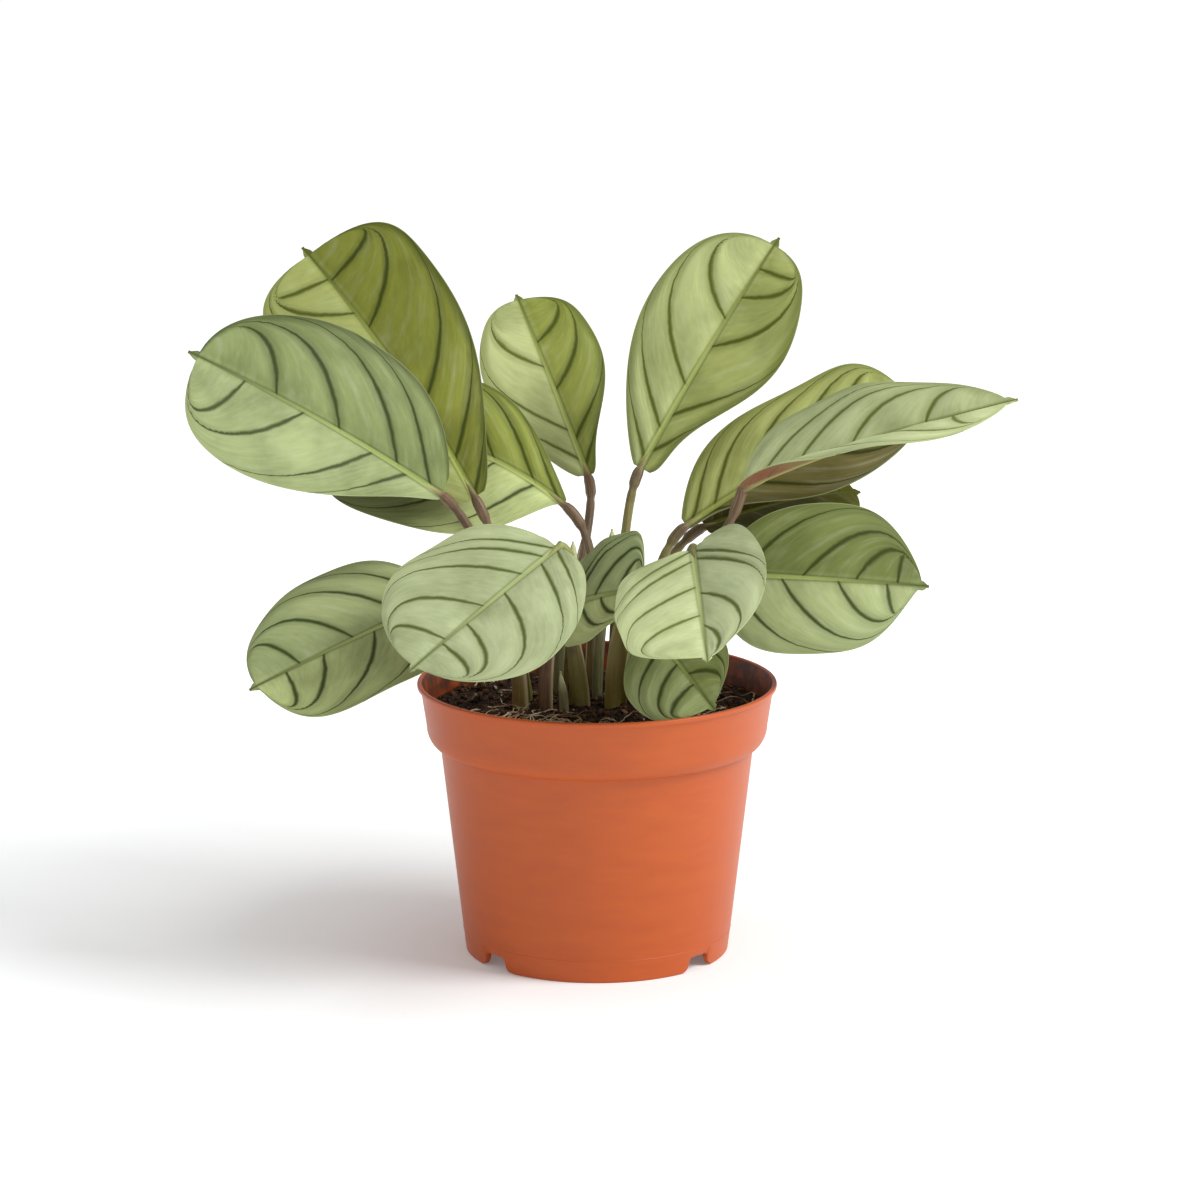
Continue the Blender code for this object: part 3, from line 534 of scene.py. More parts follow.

# One row a leaf: base and tip of the midrib, turn and twist about it, fold and curl of
# the halves, arch up and sideways, edge wave, half widths at WIDTH_PLACES, reach ahead
# and past the base; places of the veins along the midrib on each side, how far they
# sweep forward and how much more they slant; tones on the left and the right, with the
# light and shade on each half painted in, how dark the margin grows there, and how dark
# the tip grows, a painted shade; the stalk's foot, sheath radius, bend below the joint,
# climb before it turns, hang of the neck and gap to the blade. A row leaves out what is
# as in USUAL_LEAF, and skin is stated where it differs from the CAD's slot.
USUAL_LEAF = dict(twist=0, fold=8, curl=10, sway=0, lead=(0, 0), lobe=(0, 0), sweep=(0.2, 0.2),
                  lean=(0, 0), tip_shades=(0, 0), climb=0.45, hang=0, gap=0.8)
LEAVES = {
    "back_left": dict(
        base=(-40, 12, 150), tip=(-99, 50, 229), roll=42, bow=4, sway=2, wave=0.8,
        left=(11, 20, 26.5, 29.5, 23.5), right=(10.5, 21.5, 29, 31, 26.5), lead=(-1, 4.5),
        veins_left=(0.15, 0.35, 0.52, 0.715, 0.86), veins_right=(0.01, 0.14, 0.335, 0.65, 0.85),
        tones=("yellow_green", "olive_deep"), margins=(0.5, 1), tip_shades=(0.2, 0.3),
        foot=(-25, 9), sheath=2.6, bend=14),
    "left": dict(
        base=(-50, -12, 156), tip=(-131, -30, 207), roll=60, bow=3, sway=0.5, wave=0.8,
        left=(6.5, 18, 27.5, 30.5, 23), right=(20, 31.5, 33, 29, 16.5), lead=(2, 0),
        veins_left=(0.15, 0.29, 0.565, 0.79), veins_right=(0.055, 0.196, 0.43, 0.675),
        sweep=(0.2, 0.22), tones=("sage", "moss"), margins=(0.25, 0.9),
        foot=(-25, -7), sheath=3.0, bend=10),
    "inner_left": dict(
        base=(-10, 25, 145), tip=(-94, 46, 164), roll=54, bow=8, sway=8, wave=0.6,
        left=(8.5, 28, 33.5, 31, 20), right=(9, 21, 24, 20, 13),
        veins_left=(0.13, 0.3, 0.5, 0.7), veins_right=(0.03, 0.14, 0.31, 0.55, 0.75),
        tones=("fresh", "olive"), margins=(0.3, 0.9), tip_shades=(1.0, 0.2),
        foot=(-1, 14), sheath=2.8, bend=16),
    "back": dict(
        base=(-3, 52, 150), tip=(-28, 95, 206), roll=10, bow=3, sway=-1, wave=0.4,
        left=(10.5, 20, 24, 21.5, 12.5), right=(5.5, 13, 20, 21, 16), lead=(0, 1),
        veins_left=(0.08, 0.23, 0.578), veins_right=(0.05, 0.18, 0.446, 0.713), sweep=(0.2, 0.24),
        tones=("lime", "olive"), margins=(0.6, 0.9), tip_shades=(0.1, 0.2),
        foot=(-10, 24), sheath=2.4, bend=12),
    "back_right": dict(
        base=(14, 22, 158), tip=(61, 45, 233), roll=-42, bow=3, wave=0.4,
        left=(9.7, 21, 27, 27, 17), right=(7, 14.5, 24, 24, 15), lead=(3, 0),
        veins_left=(0.04, 0.165, 0.35, 0.635), veins_right=(0.08, 0.225, 0.52, 0.735, 0.86),
        sweep=(0.21, 0.2), tones=("lime", "yellow_green"), margins=(0.8, 0.9), tip_shades=(0.1, 0.1),
        foot=(7, 12), sheath=3.0, bend=10),
    "right_rear": dict(
        base=(29, 25, 138), tip=(109, 50, 178), roll=-45, bow=3, sway=-1, wave=0.6,
        left=(12.5, 22.5, 23.3, 23.5, 19), right=(2, 8.7, 17.5, 18.5, 12),
        veins_left=(0.03, 0.13, 0.3, 0.5, 0.7), veins_right=(0.1, 0.3, 0.55, 0.78),
        tones=("yellow_green", "bronze"), margins=(0.7, 0.6),
        foot=(14, 13), sheath=2.6, bend=10),
    "right_front": dict(
        base=(47, -15, 159), tip=(134, -45, 194), roll=-22, twist=-34, fold=34, curl=20, bow=3,
        sway=1, wave=1.2, left=(25, 25.7, 22, 16, 6), right=(12, 20, 27, 27, 13),
        veins_left=(0.065, 0.217, 0.416, 0.685), veins_right=(0.1, 0.3, 0.55, 0.78),
        sweep=(0.21, 0.2), tones=("pale_silver", "pale_silver"), margins=(0.6, 0.4),
        foot=(17, -3), sheath=2.6, bend=5, hang=20),
    "right_low": dict(
        base=(38, -2, 128), tip=(110, 4, 122.5), roll=-60, bow=1.5, wave=0.5,
        left=(12, 23, 26, 25.3, 12.5), right=(20, 26.8, 26.3, 22.5, 6.5),
        veins_left=(0.11, 0.405, 0.655, 0.85), veins_right=(0.06, 0.31, 0.57, 0.8),
        sweep=(0.3, 0.2), tones=("deep", "sage"), margins=(0.5, 0.4),
        foot=(18, 6), sheath=2.4, bend=10),
    "front_right": dict(
        base=(31, -38, 144), tip=(34.5, -94, 120), roll=-18, twist=30, fold=12, bow=0, wave=0.8,
        left=(18, 23, 23, 16.5, 6), right=(23, 27, 27.5, 26, 21), lead=(0, 6), lobe=(8, 6),
        veins_left=(0.02, 0.09, 0.405, 0.69), veins_right=(0.01, 0.11, 0.345, 0.6),
        sweep=(0.07, 0.15), lean=(0.28, 0.05), tones=("silver", "pale_silver"), margins=(0.1, 0.1),
        foot=(6, -7), sheath=3.6, bend=14, climb=0.95, hang=18, gap=1.4, skin="stalk_straw"),
    "centre_small": dict(
        base=(-9, -13, 119), tip=(16, -36, 130), roll=-60, bow=3, wave=0.5,
        left=(15, 17.5, 20, 21, 18.5), right=(15, 16, 15, 11, 7),
        veins_left=(0.02, 0.13, 0.41, 0.7), veins_right=(0.23, 0.5, 0.75), sweep=(0.4, 0.25),
        tones=("sage", "fresh"), margins=(0.4, 0.3),
        foot=(-6, -8), sheath=3.3, bend=3),
    "front_left": dict(
        base=(-12, -34, 144), tip=(-59, -78, 113), roll=20, bow=0.5, wave=0.8,
        left=(17.7, 28, 33, 31, 19), right=(23.6, 30.5, 32.5, 30, 16.6),
        veins_left=(0.02, 0.135, 0.38, 0.63, 0.79), veins_right=(0.02, 0.095, 0.24, 0.5, 0.76),
        tones=("silver", "silver"), margins=(0.15, 0.2),
        foot=(-17, -9), sheath=2.4, bend=14, climb=0.85, hang=18, gap=1.4, skin="stalk_plum"),
    "left_low": dict(
        base=(-50, -12, 122), tip=(-112, -45, 99), roll=28, bow=2, sway=-1, wave=0.6,
        left=(15, 26, 27, 26.5, 20.5), right=(23, 30, 30, 25.5, 14.5),
        veins_left=(0.12, 0.37, 0.63, 0.82), veins_right=(0.02, 0.2, 0.47, 0.745),
        tones=("fresh", "sage"), margins=(0.5, 0.5), tip_shades=(0.1, 0.1),
        foot=(-24, 1), sheath=2.6, bend=14),
    "rim": dict(
        base=(12, -20, 120), tip=(38, -47, 92.8), roll=-30, bow=1, wave=0.5,
        left=(8, 14, 17, 15.2, 5.5), right=(6, 12, 19.7, 21.5, 15.7),
        veins_left=(0.2, 0.42, 0.66), veins_right=(0.15, 0.36, 0.55, 0.75),
        tones=("deep", "moss"), margins=(0.3, 0.2),
        foot=(15, -11), sheath=2.2, bend=6),
    "right_inner": dict(
        base=(36, 45, 134), tip=(90, 62, 143), roll=-25, bow=3, wave=0.4,
        left=(10, 18, 20, 18, 12), right=(10, 18, 20, 18, 12),
        veins_left=(0.15, 0.35, 0.6), veins_right=(0.15, 0.35, 0.6),
        tones=("shade", "shade"), margins=(0.5, 0.5),
        foot=(8, 21), sheath=2.4, bend=10),
}
LEAVES = {name: {**USUAL_LEAF, **row} for name, row in LEAVES.items()}


def unit(vector):
    return vector / np.linalg.norm(vector)


def midrib_frame(leaf):
    """Direction along the midrib's chord, to its right, and up from the upper face."""
    along = unit(np.array(leaf["tip"], float) - np.array(leaf["base"], float))
    right = unit(np.cross(along, (0, 0, 1)))
    return along, right, np.cross(right, along)


def half_width(leaf, u, v):
    """Half width at u along the midrib, on the side of v: a blunt oval with a drip tip."""
    share = np.clip(u / BLUNT_END, 0, 1)
    places = WIDTH_PLACES / BLUNT_END
    ovals = []
    for widths in (leaf["left"], leaf["right"]):
        fullness = np.polyfit(places, widths / np.sqrt(places * (1 - places)), len(widths) - 1)
        ovals.append(np.sqrt(share * (1 - share)) * np.polyval(fullness, share))
    spur = np.clip((1 - u) * SPUR_TAPER, LEAST_HALF_WIDTH, SPUR_HALF_WIDTH)
    least = np.where(u > SPUR_START, spur, LEAST_HALF_WIDTH)
    return np.maximum(np.where(v < 0, ovals[0], ovals[1]), least)


def blade_surface(leaf, u, v):
    """Points of the blade's middle surface, u from base to tip, v from left to right edge."""
    along, right, up = midrib_frame(leaf)
    u, v = np.meshgrid(u, v, indexing="ij")
    width = half_width(leaf, u, v)
    slope = np.radians(leaf["fold"] - leaf["curl"] * np.abs(v) / 2)
    arch = 4 * u * (1 - u)
    phase = np.where(v > 0, 2 * u, 2 * u + EDGE_LAG)
    ripple = leaf["wave"] * v ** 2 * np.sin(math.tau * phase) * np.sin(math.pi * u)
    side = width * v * np.cos(slope) + leaf["sway"] * arch
    rise = width * np.abs(v) * np.sin(slope) + leaf["bow"] * arch + ripple
    turn = np.radians(leaf["roll"] + leaf["twist"] * (u - 0.5))
    to_right = side * np.cos(turn) - rise * np.sin(turn)
    to_up = side * np.sin(turn) + rise * np.cos(turn)
    lead, lobe = (np.where(v < 0, *leaf[key]) for key in ("lead", "lobe"))
    reach = width * np.abs(v) / REACH_WIDTH * (lead * u ** 2 - lobe * (1 - u) ** 2)
    base = np.array(leaf["base"], float)
    chord = np.array(leaf["tip"], float) - base
    return (base + u[..., None] * chord + reach[..., None] * along
            + to_right[..., None] * right + to_up[..., None] * up)


def surface_normals(points):
    normals = np.cross(np.gradient(points, axis=1), np.gradient(points, axis=0))
    return normals / np.linalg.norm(normals, axis=2, keepdims=True)


def smooth(value, start, end):
    """Smooth step from 0 at start to 1 at end."""
    share = np.clip((value - start) / (end - start), 0, 1)
    return share * share * (3 - 2 * share)


def vein_pattern(leaf, side, u, points):
    """On one half: vein number, millimetres from vein to vein, and half width of the line."""
    places = np.array(leaf["veins_" + side])
    beyond = VEIN_BEYOND * np.array((3, 2, 1))
    starts = np.concatenate((places[0] - beyond, places, places[-1] + beyond[::-1]))
    numbers = np.arange(len(starts)) - len(beyond) + 1
    sign = -1 if side == "left" else 1
    # A vein sweeps forward less where the half is narrow, and less again near the tip.
    widths = half_width(leaf, np.clip(starts + 0.1, 0.02, 1), sign * np.ones(len(starts)))
    sweep = leaf["sweep"][sign > 0] * np.clip(widths / max(leaf[side]), 0.2, 1)
    sweep *= 1 - TIP_SLACK * smooth(starts, 0.5, 0.9)
    outwards = np.linspace(0, 1, HALF_COLUMNS + 1)
    forward = -np.log(1 - VEIN_CURVE * outwards)
    lean = leaf["lean"][sign > 0]
    curves = starts[:, None] + sweep[:, None] * forward + lean * outwards
    curves = np.maximum.accumulate(curves + 1e-4 * numbers[:, None], axis=0)
    phase = np.stack([np.interp(u, curve, numbers) for curve in curves.T], axis=1)
    along_step = np.linalg.norm(np.gradient(points, axis=0), axis=2)
    across_step = np.linalg.norm(np.gradient(points, axis=1), axis=2)
    steepness = np.hypot(np.gradient(phase, axis=0) / along_step,
                         np.gradient(phase, axis=1) / np.maximum(across_step, 1e-3))
    pitch = 1 / np.clip(steepness, 1 / PITCH_RANGE[1], 1 / PITCH_RANGE[0])
    real = (phase > 0.5) & (phase < len(places) + 0.5)
    swell = (0.5 + 0.5 * smooth(outwards, 0, 0.3)) * (1 - 0.85 * smooth(outwards, 0.5, 0.97))
    line = VEIN_HALF_WIDTH * swell * np.where(real, 1, 0.001)
    return phase, pitch, line


def blade_mesh(name, leaf):
    """Closed thin blade with its relief, and the values that its material draws from."""
    share = np.linspace(0, 1, STATIONS)
    eased = 0.5 - 0.5 * np.cos(math.pi * share)
    u = BLADE_START + (1 - BLADE_START) * (share + eased) / 2
    outwards = np.linspace(0, 1, HALF_COLUMNS + 1)
    v = np.concatenate((-outwards[:0:-1], outwards))
    points = blade_surface(leaf, u, v)
    normals = surface_normals(points)
    halves = []
    relief = np.zeros(points.shape[:2])
    for side, sign in (("left", -1), ("right", 1)):
        columns = slice(HALF_COLUMNS, None, sign)
        phase, pitch, line = vein_pattern(leaf, side, u, points[:, columns])
        width = half_width(leaf, u[:, None], sign * np.ones((len(u), HALF_COLUMNS + 1)))
        from_rib = width * outwards
        quilt = (0.5 - 0.5 * np.cos(math.tau * phase)) * smooth(from_rib, 0.3, QUILT_EDGE)
        quilt *= smooth(width - from_rib, 0, QUILT_EDGE)
        relief[:, columns] = QUILT_HEIGHT * quilt
        halves.append(np.stack((np.broadcast_to(u[:, None], width.shape), sign * from_rib, width,
                                phase, pitch, line), axis=2))
    distance = np.abs(v) * half_width(leaf, *np.meshgrid(u, v, indexing="ij"))
    fade = (1 - RIB_FADE * u)[:, None]
    extra = (RIB_THICKNESS - EDGE_THICKNESS) * np.exp(-(distance / RIB_SPREAD) ** 2)
    thickness = EDGE_THICKNESS + extra
    groove, keel = (size * fade * np.exp(-(distance / reach) ** 2)
                    for size, reach in (RIB_GROOVE, RIB_KEEL))
    top = relief + thickness / 2 - groove
    bottom = relief - thickness / 2 - keel
    vertices = np.concatenate([(points + normals * rise[..., None]).reshape(-1, 3)
                               for rise in (top, bottom)])
    rows, columns = points.shape[:2]
    ids = np.arange(rows * columns).reshape(rows, columns)
    quads = np.stack((ids[:-1, :-1], ids[:-1, 1:], ids[1:, 1:], ids[1:, :-1]), axis=2)
    quads = quads.reshape(-1, 4)
    layer = rows * columns
    border = np.concatenate((ids[:, 0], ids[-1, 1:], ids[-2::-1, -1], ids[0, -2:0:-1]))
    following = np.roll(border, -1)
    rim = np.stack((border, following, following + layer, border + layer), axis=1)
    faces = np.concatenate((quads, (quads + layer)[:, ::-1], rim[:, ::-1]))
    mesh = bpy.data.meshes.new("blade_" + name)
    mesh.from_pydata(vertices.tolist(), [], faces.tolist())
    mesh.update()
    row, column = np.divmod(faces % layer, columns)
    on_right = (column.mean(axis=1) > HALF_COLUMNS).astype(int)
    values = np.stack(halves)[on_right[:, None], row, np.abs(column - HALF_COLUMNS)].reshape(-1, 6)
    for label, part in (("blade_place", values[:, :3]), ("vein_place", values[:, 3:])):
        stored = mesh.attributes.new(label, "FLOAT_VECTOR", "CORNER")
        stored.data.foreach_set("vector", np.ascontiguousarray(part, np.float32).ravel())
    sides = np.zeros(len(faces), np.int32)
    sides[len(quads):2 * len(quads)] = 1
    mesh.polygons.foreach_set("material_index", sides)
    return mesh


def blade_nodes(tree):
    """Places on a blade: along and across it, its half width, and from the nearest vein."""
    place_on = add(tree, "Attribute", out="Vector", attribute_name="blade_place")
    along = add(tree, "SeparateXYZ", {0: place_on})
    signed_rib, half_wide = (along.node.outputs[axis] for axis in "YZ")
    from_rib = add(tree, "Math", {0: signed_rib}, operation="ABSOLUTE")
    pattern = add(tree, "Attribute", out="Vector", attribute_name="vein_place")
    phase = add(tree, "SeparateXYZ", {0: pattern})
    pitch, line_half = (phase.node.outputs[axis] for axis in "YZ")
    nearest = add(tree, "Math", {0: phase}, operation="ROUND")
    ahead = add(tree, "Math", {0: phase, 1: nearest}, operation="SUBTRACT")
    gap = add(tree, "Math", {0: ahead, 1: pitch}, operation="MULTIPLY")
    return along, signed_rib, from_rib, half_wide, phase, line_half, gap


def vein_streaks(tree, phase, signed_rib, density, stretch):
    """Noise drawn out along the veins, and the place that it is drawn at."""
    streak_along = add(tree, "Math", {0: phase, 1: density}, operation="MULTIPLY")
    streak_across = add(tree, "Math", {0: signed_rib, 1: stretch}, operation="MULTIPLY")
    streak_place = add(tree, "CombineXYZ", {0: streak_along, 1: streak_across})
    streak = add(tree, "TexNoise", {"Vector": streak_place, "Scale": 1.3, "Detail": 4.0})
    return streak, streak_place


# Upper face: a waxy cuticle over silver panels. Soft deep green lies beside each dark
# vein and along the margin, fine streaks run with the veins, and the midrib is a pale
# yellow green. Streaks are drawn about 1 mm wide, coarser than the real, so they show,
# and a faint frost of paler flecks lies over the silver. The tones pass from the left
# half's to the right's across the midrib, each with the light or shade on its half
# painted in; the blade's darkening towards its tip is painted shade too, and a thin pale
# rim runs round the margin.
def upper_face(name, left, right, margins, tip_shades):
    material, tree, shader = new_material(name, 0.55, 1.42)
    shader.inputs["Specular IOR Level"].default_value = 0.16
    along, signed_rib, from_rib, half_wide, phase, line_half, gap = blade_nodes(tree)
    from_edge = add(tree, "Math", {0: half_wide, 1: from_rib}, operation="SUBTRACT")
    where = add(tree, "TexCoord", out="Object")
    # Each half takes its own tone, with the light and shade that fall on that half painted in.
    on_right = add(tree, "MapRange", {"Value": signed_rib, "From Min": -2.5, "From Max": 2.5})
    panel, vein = (add(tree, "Mix", {0: on_right, 6: linear(one), 7: linear(other)}, **AS_COLOUR)
                   for one, other in zip(left, right))
    margin_depth, tip_shade_depth = (add(tree, "Mix", {0: on_right, 2: one, 3: other})
                               for one, other in (margins, tip_shades))

    jitter = add(tree, "TexNoise", {"Vector": where, "Scale": 300.0, "Detail": 2.0})
    jitter = add(tree, "MapRange", {"Value": jitter, "To Min": -0.35, "To Max": 0.35})
    gap = add(tree, "Math", {0: gap, 1: jitter}, operation="ADD")
    gap = add(tree, "Math", {0: gap}, operation="ABSOLUTE")
    line_core = add(tree, "Math", {0: line_half, 1: 0.2}, operation="MULTIPLY")
    line_edge = add(tree, "Math", {0: line_half, 1: 1.7}, operation="MULTIPLY")
    line = add(tree, "MapRange", {"Value": gap, "From Min": line_core, "From Max": line_edge,
                                  "To Min": 0.9, "To Max": 0.0}, **SOFTLY)
    halo_depth = add(tree, "MapRange", {"Value": margin_depth, "To Min": 0.25, "To Max": 0.65})
    halo_edge = add(tree, "Math", {0: line_half, 1: 45.0}, operation="MULTIPLY")
    halo_edge = add(tree, "Math", {0: halo_edge, 1: 4.5}, operation="MINIMUM")
    halo = add(tree, "MapRange", {"Value": gap, "From Min": 0.0, "From Max": halo_edge,
                                  "To Min": halo_depth, "To Max": 0.0}, **SOFTLY)

    streak, streak_place = vein_streaks(tree, phase, signed_rib, 9.0, 0.16)
    blotch = add(tree, "TexNoise", {"Vector": where, "Scale": 40.0, "Detail": 4.0})
    ragged = add(tree, "MapRange", {"Value": blotch, "From Min": 0.3, "From Max": 0.7,
                                    "To Min": 3.0, "To Max": 9.0})
    margin = add(tree, "MapRange", {"Value": from_edge, "From Min": 0.0, "From Max": ragged,
                                    "To Min": margin_depth, "To Max": 0.0}, **SOFTLY)
    # Painted shade: the blade darkens towards its tip, most where a half lies in another leaf's
    # shadow.
    tip = add(tree, "MapRange", {"Value": along, "From Min": 0.25, "From Max": 0.6,
                                 "To Max": tip_shade_depth}, **SOFTLY)
    green = add(tree, "MapRange", {"Value": blotch, "From Min": 0.38, "From Max": 0.66,
                                   "To Min": -0.05, "To Max": 0.48})
    for other in (halo, margin, tip):
        green = add(tree, "Math", {0: green, 1: other}, operation="MAXIMUM")
    grained = add(tree, "MapRange", {"Value": streak, "From Min": 0.3, "From Max": 0.7,
                                     "To Min": -0.10, "To Max": 0.10})
    green = add(tree, "Math", {0: green, 1: grained}, operation="ADD", use_clamp=True)
    green = add(tree, "Math", {0: green, 1: 0.80}, operation="MULTIPLY")
    fleck = add(tree, "TexNoise", {"Vector": streak_place, "Scale": 0.55, "Detail": 6.0})
    frost = add(tree, "MapRange", {"Value": fleck, "From Min": 0.50, "From Max": 0.74,
                                   "To Max": 0.13})

    rib_half = add(tree, "MapRange", {"Value": along, "To Min": 1.35, "To Max": 0.35})
    rib_core = add(tree, "Math", {0: rib_half, 1: 0.5}, operation="MULTIPLY")
    rib_side = add(tree, "Math", {0: rib_half, 1: 0.7}, operation="ADD")
    shade = add(tree, "MapRange", {"Value": from_rib, "From Min": rib_half, "From Max": rib_side,
                                   "To Min": 0.45, "To Max": 0.0})
    rib = add(tree, "MapRange", {"Value": from_rib, "From Min": rib_core, "From Max": rib_half,
                                 "To Min": 0.9, "To Max": 0.0}, **SOFTLY)
    age = add(tree, "MapRange", {"Value": along, "From Min": 0.45, "From Max": 0.95,
                                 "To Max": 0.85})
    rib_colour = add(tree, "Mix", {0: 0.45, 6: panel, 7: linear("#9AAA4C")}, **AS_COLOUR)
    rib_colour = add(tree, "Mix", {0: age, 6: rib_colour, 7: vein}, **AS_COLOUR)
    rim = add(tree, "MapRange", {"Value": from_edge, "From Min": 0.1, "From Max": 0.4,
                                 "To Min": 0.35, "To Max": 0.0})
    before_spur = add(tree, "Math", {0: along, 1: 0.93}, operation="LESS_THAN")
    rim = add(tree, "Math", {0: rim, 1: before_spur}, operation="MULTIPLY")
    colour = panel
    for coat, tint in ((frost, linear("#DDE5CC")), (green, vein), (line, vein), (shade, vein),
                       (rib, rib_colour), (rim, linear("#AEBB86"))):
        colour = add(tree, "Mix", {0: coat, 6: colour, 7: tint}, **AS_COLOUR)

    gloss = add(tree, "MapRange", {"Value": fleck, "From Min": 0.38, "From Max": 0.62,
                                   "To Min": 0.46, "To Max": 0.62})
    tree.links.new(gloss, shader.inputs["Roughness"])
    pleats = add(tree, "Math", {0: streak, 1: line}, operation="SUBTRACT")
    dress(tree, shader, colour, pleats, 0.0002, 0.5)
    return material


# Underside: matt, purplish brown from the pigment of this genus, mottled with olive,
# with darker veins and a paler olive midrib.
def lower_face(name, base, rib_hex):
    material, tree, shader = new_material(name, 0.55, 1.42)
    _, signed_rib, from_rib, _, phase, line_half, gap = blade_nodes(tree)
    gap = add(tree, "Math", {0: gap}, operation="ABSOLUTE")
    line_edge = add(tree, "Math", {0: line_half, 1: 1.6}, operation="MULTIPLY")
    line = add(tree, "MapRange", {"Value": gap, "From Min": 0.0, "From Max": line_edge,
                                  "To Min": 0.6, "To Max": 0.0}, **SOFTLY)
    where = add(tree, "TexCoord", out="Object")
    blotch = add(tree, "TexNoise", {"Vector": where, "Scale": 70.0, "Detail": 4.0})
    streak, _ = vein_streaks(tree, phase, signed_rib, 15.0, 0.10)
    mottle = add(tree, "Math", {0: blotch, 1: streak}, operation="MULTIPLY")
    mottle = add(tree, "MapRange", {"Value": mottle, "From Min": 0.15, "From Max": 0.35})
    rib = add(tree, "MapRange", {"Value": from_rib, "From Min": 0.5, "From Max": 1.3,
                                 "To Min": 0.9, "To Max": 0.0})
    colour = linear(base)
    for coat, tint in ((mottle, "#7C6C44"), (line, "#5A4636"), (rib, rib_hex)):
        colour = add(tree, "Mix", {0: coat, 6: colour, 7: linear(tint)}, **AS_COLOUR)
    dress(tree, shader, colour, streak, 0.0002, 0.5)
    return material


underside = lower_face("ctenanthe_leaf_underside", "#82503A", "#A09A5E")
for name, leaf in LEAVES.items():
    left, right = (LIT_AND_SHADED_LEAF_TONES[tone] for tone in leaf["tones"])
    face = upper_face("ctenanthe_leaf_" + name, left, right, leaf["margins"], leaf["tip_shades"])
    node = "blade_" + name
    finish_mesh("leaf_" + name, blade_mesh(name, leaf), [face, underside], [node],
                sharp=50)

# ---- Stalks ---------------------------------------------------------------------
# Each leaf stands on one stalk: a lapped sheath with a dry papery edge round its foot,
# a plain round length, and a swollen joint under the blade that runs on as the keel of
# the midrib. Young stalks are olive and older ones brown; of the two that carry the
# front leaves one is plum and one straw, and both joints are green.

STALK_WAIST = 1.5
SHEATH_SHARE = 0.6
SHEATH_POWER = 0.8
SHEATH_LAP = 0.55           # how far the sheath's outer edge stands off its inner one
JOINT_RADIUS = 1.85
JOINT_LENGTH = 12.0
JOINT_NECK = 0.2            # how much the stalk narrows just below and above the joint
STALK_SINK = 4.0            # how far the stalk goes on below the soil's surface
KEEL_SHARE = 0.09           # share of the midrib that the stalk's end runs along
KEEL_DROP = 0.55
KEEL_RINGS = 8
KEEL_RADIUS = 1.3
KEEL_TAPER = 0.85
JOINT_TAPER = 0.25          # how much the joint narrows to meet the blade
LAP_TURN = 2.2              # radians from the stalk's outer side to where its sheath laps
STALK_RINGS = 72
STALK_SIDES = 24
STALK_COLOURS = {           # foot, middle, joint
    "stalk_olive": ("#7C7A2C", "#746E34", "#5E4A34"),
    "stalk_brown": ("#806E30", "#644C38", "#684630"),
    "stalk_plum": ("#7A5644", "#6A4A40", "#8C9650"),
    "stalk_straw": ("#94883A", "#8A8440", "#8C9650"),
}


def bezier(points, t):
    """Point at t on the cubic curve with these four control points."""
    a, b, c, d = (np.array(point, float) for point in points)
    s = 1 - t
    return a * s ** 3 + 3 * b * s ** 2 * t + 3 * c * s * t ** 2 + d * t ** 3


def stalk_path(leaf):
    """Control points of a stalk, from the soil to the joint under the blade."""
    along, right, up = midrib_frame(leaf)
    turn = math.radians(leaf["roll"] - leaf["twist"] / 2)
    turned_right = right * math.cos(turn) + up * math.sin(turn)
    turned_up = up * math.cos(turn) - right * math.sin(turn)
    chord = np.array(leaf["tip"], float) - np.array(leaf["base"], float)
    start = blade_surface(leaf, np.array([BLADE_START]), np.array([0.0]))[0, 0]
    heading = unit(chord + 4 * (leaf["bow"] * turned_up + leaf["sway"] * turned_right))
    end = start - heading * leaf["gap"]
    foot = np.array((*leaf["foot"], SOIL_CROWN_Z))
    climb = leaf["climb"] * (end[2] - foot[2])
    neck = end - heading * leaf["bend"] - np.array((0, 0, leaf["hang"]))
    return foot, foot + np.array((0, 0, climb)), neck, end


def tube_mesh(name, centres, radii, laps, lap_turn):
    """Closed tube along a path; its wall laps over itself, and it keeps place values."""
    vertices = []
    values = []
    side = np.array((math.cos(lap_turn), math.sin(lap_turn), 0.0))
    travelled = 0.0
    for i, (centre, radius, lap) in enumerate(zip(centres, radii, laps)):
        ahead = unit(centres[min(i + 1, len(centres) - 1)] - centres[max(i - 1, 0)])
        side = unit(side - ahead * np.dot(side, ahead))
        other = np.cross(ahead, side)
        travelled += np.linalg.norm(centre - centres[max(i - 1, 0)])
        for k in range(STALK_SIDES):
            share = k / (STALK_SIDES - 1)
            turn = math.tau * share * (STALK_SIDES - 0.5) / STALK_SIDES
            reach = radius + lap * (share ** 3)
            vertices.append(centre + reach * (math.cos(turn) * side + math.sin(turn) * other))
            values.append((travelled, share, i / (len(centres) - 1)))
    count = len(centres)
    ids = np.arange(count * STALK_SIDES).reshape(count, STALK_SIDES)
    following = np.roll(ids, -1, axis=1)
    quads = np.stack((ids[:-1], following[:-1], following[1:], ids[1:]), axis=2).reshape(-1, 4)
    faces = quads.tolist() + [ids[0, ::-1].tolist(), ids[-1].tolist()]
    mesh = bpy.data.meshes.new(name)
    mesh.from_pydata([tuple(vertex) for vertex in vertices], [], faces)
    mesh.update()
    stored = mesh.attributes.new("stalk_place", "FLOAT_VECTOR", "POINT")
    stored.data.foreach_set("vector", np.array(values, np.float32).ravel())
    return mesh


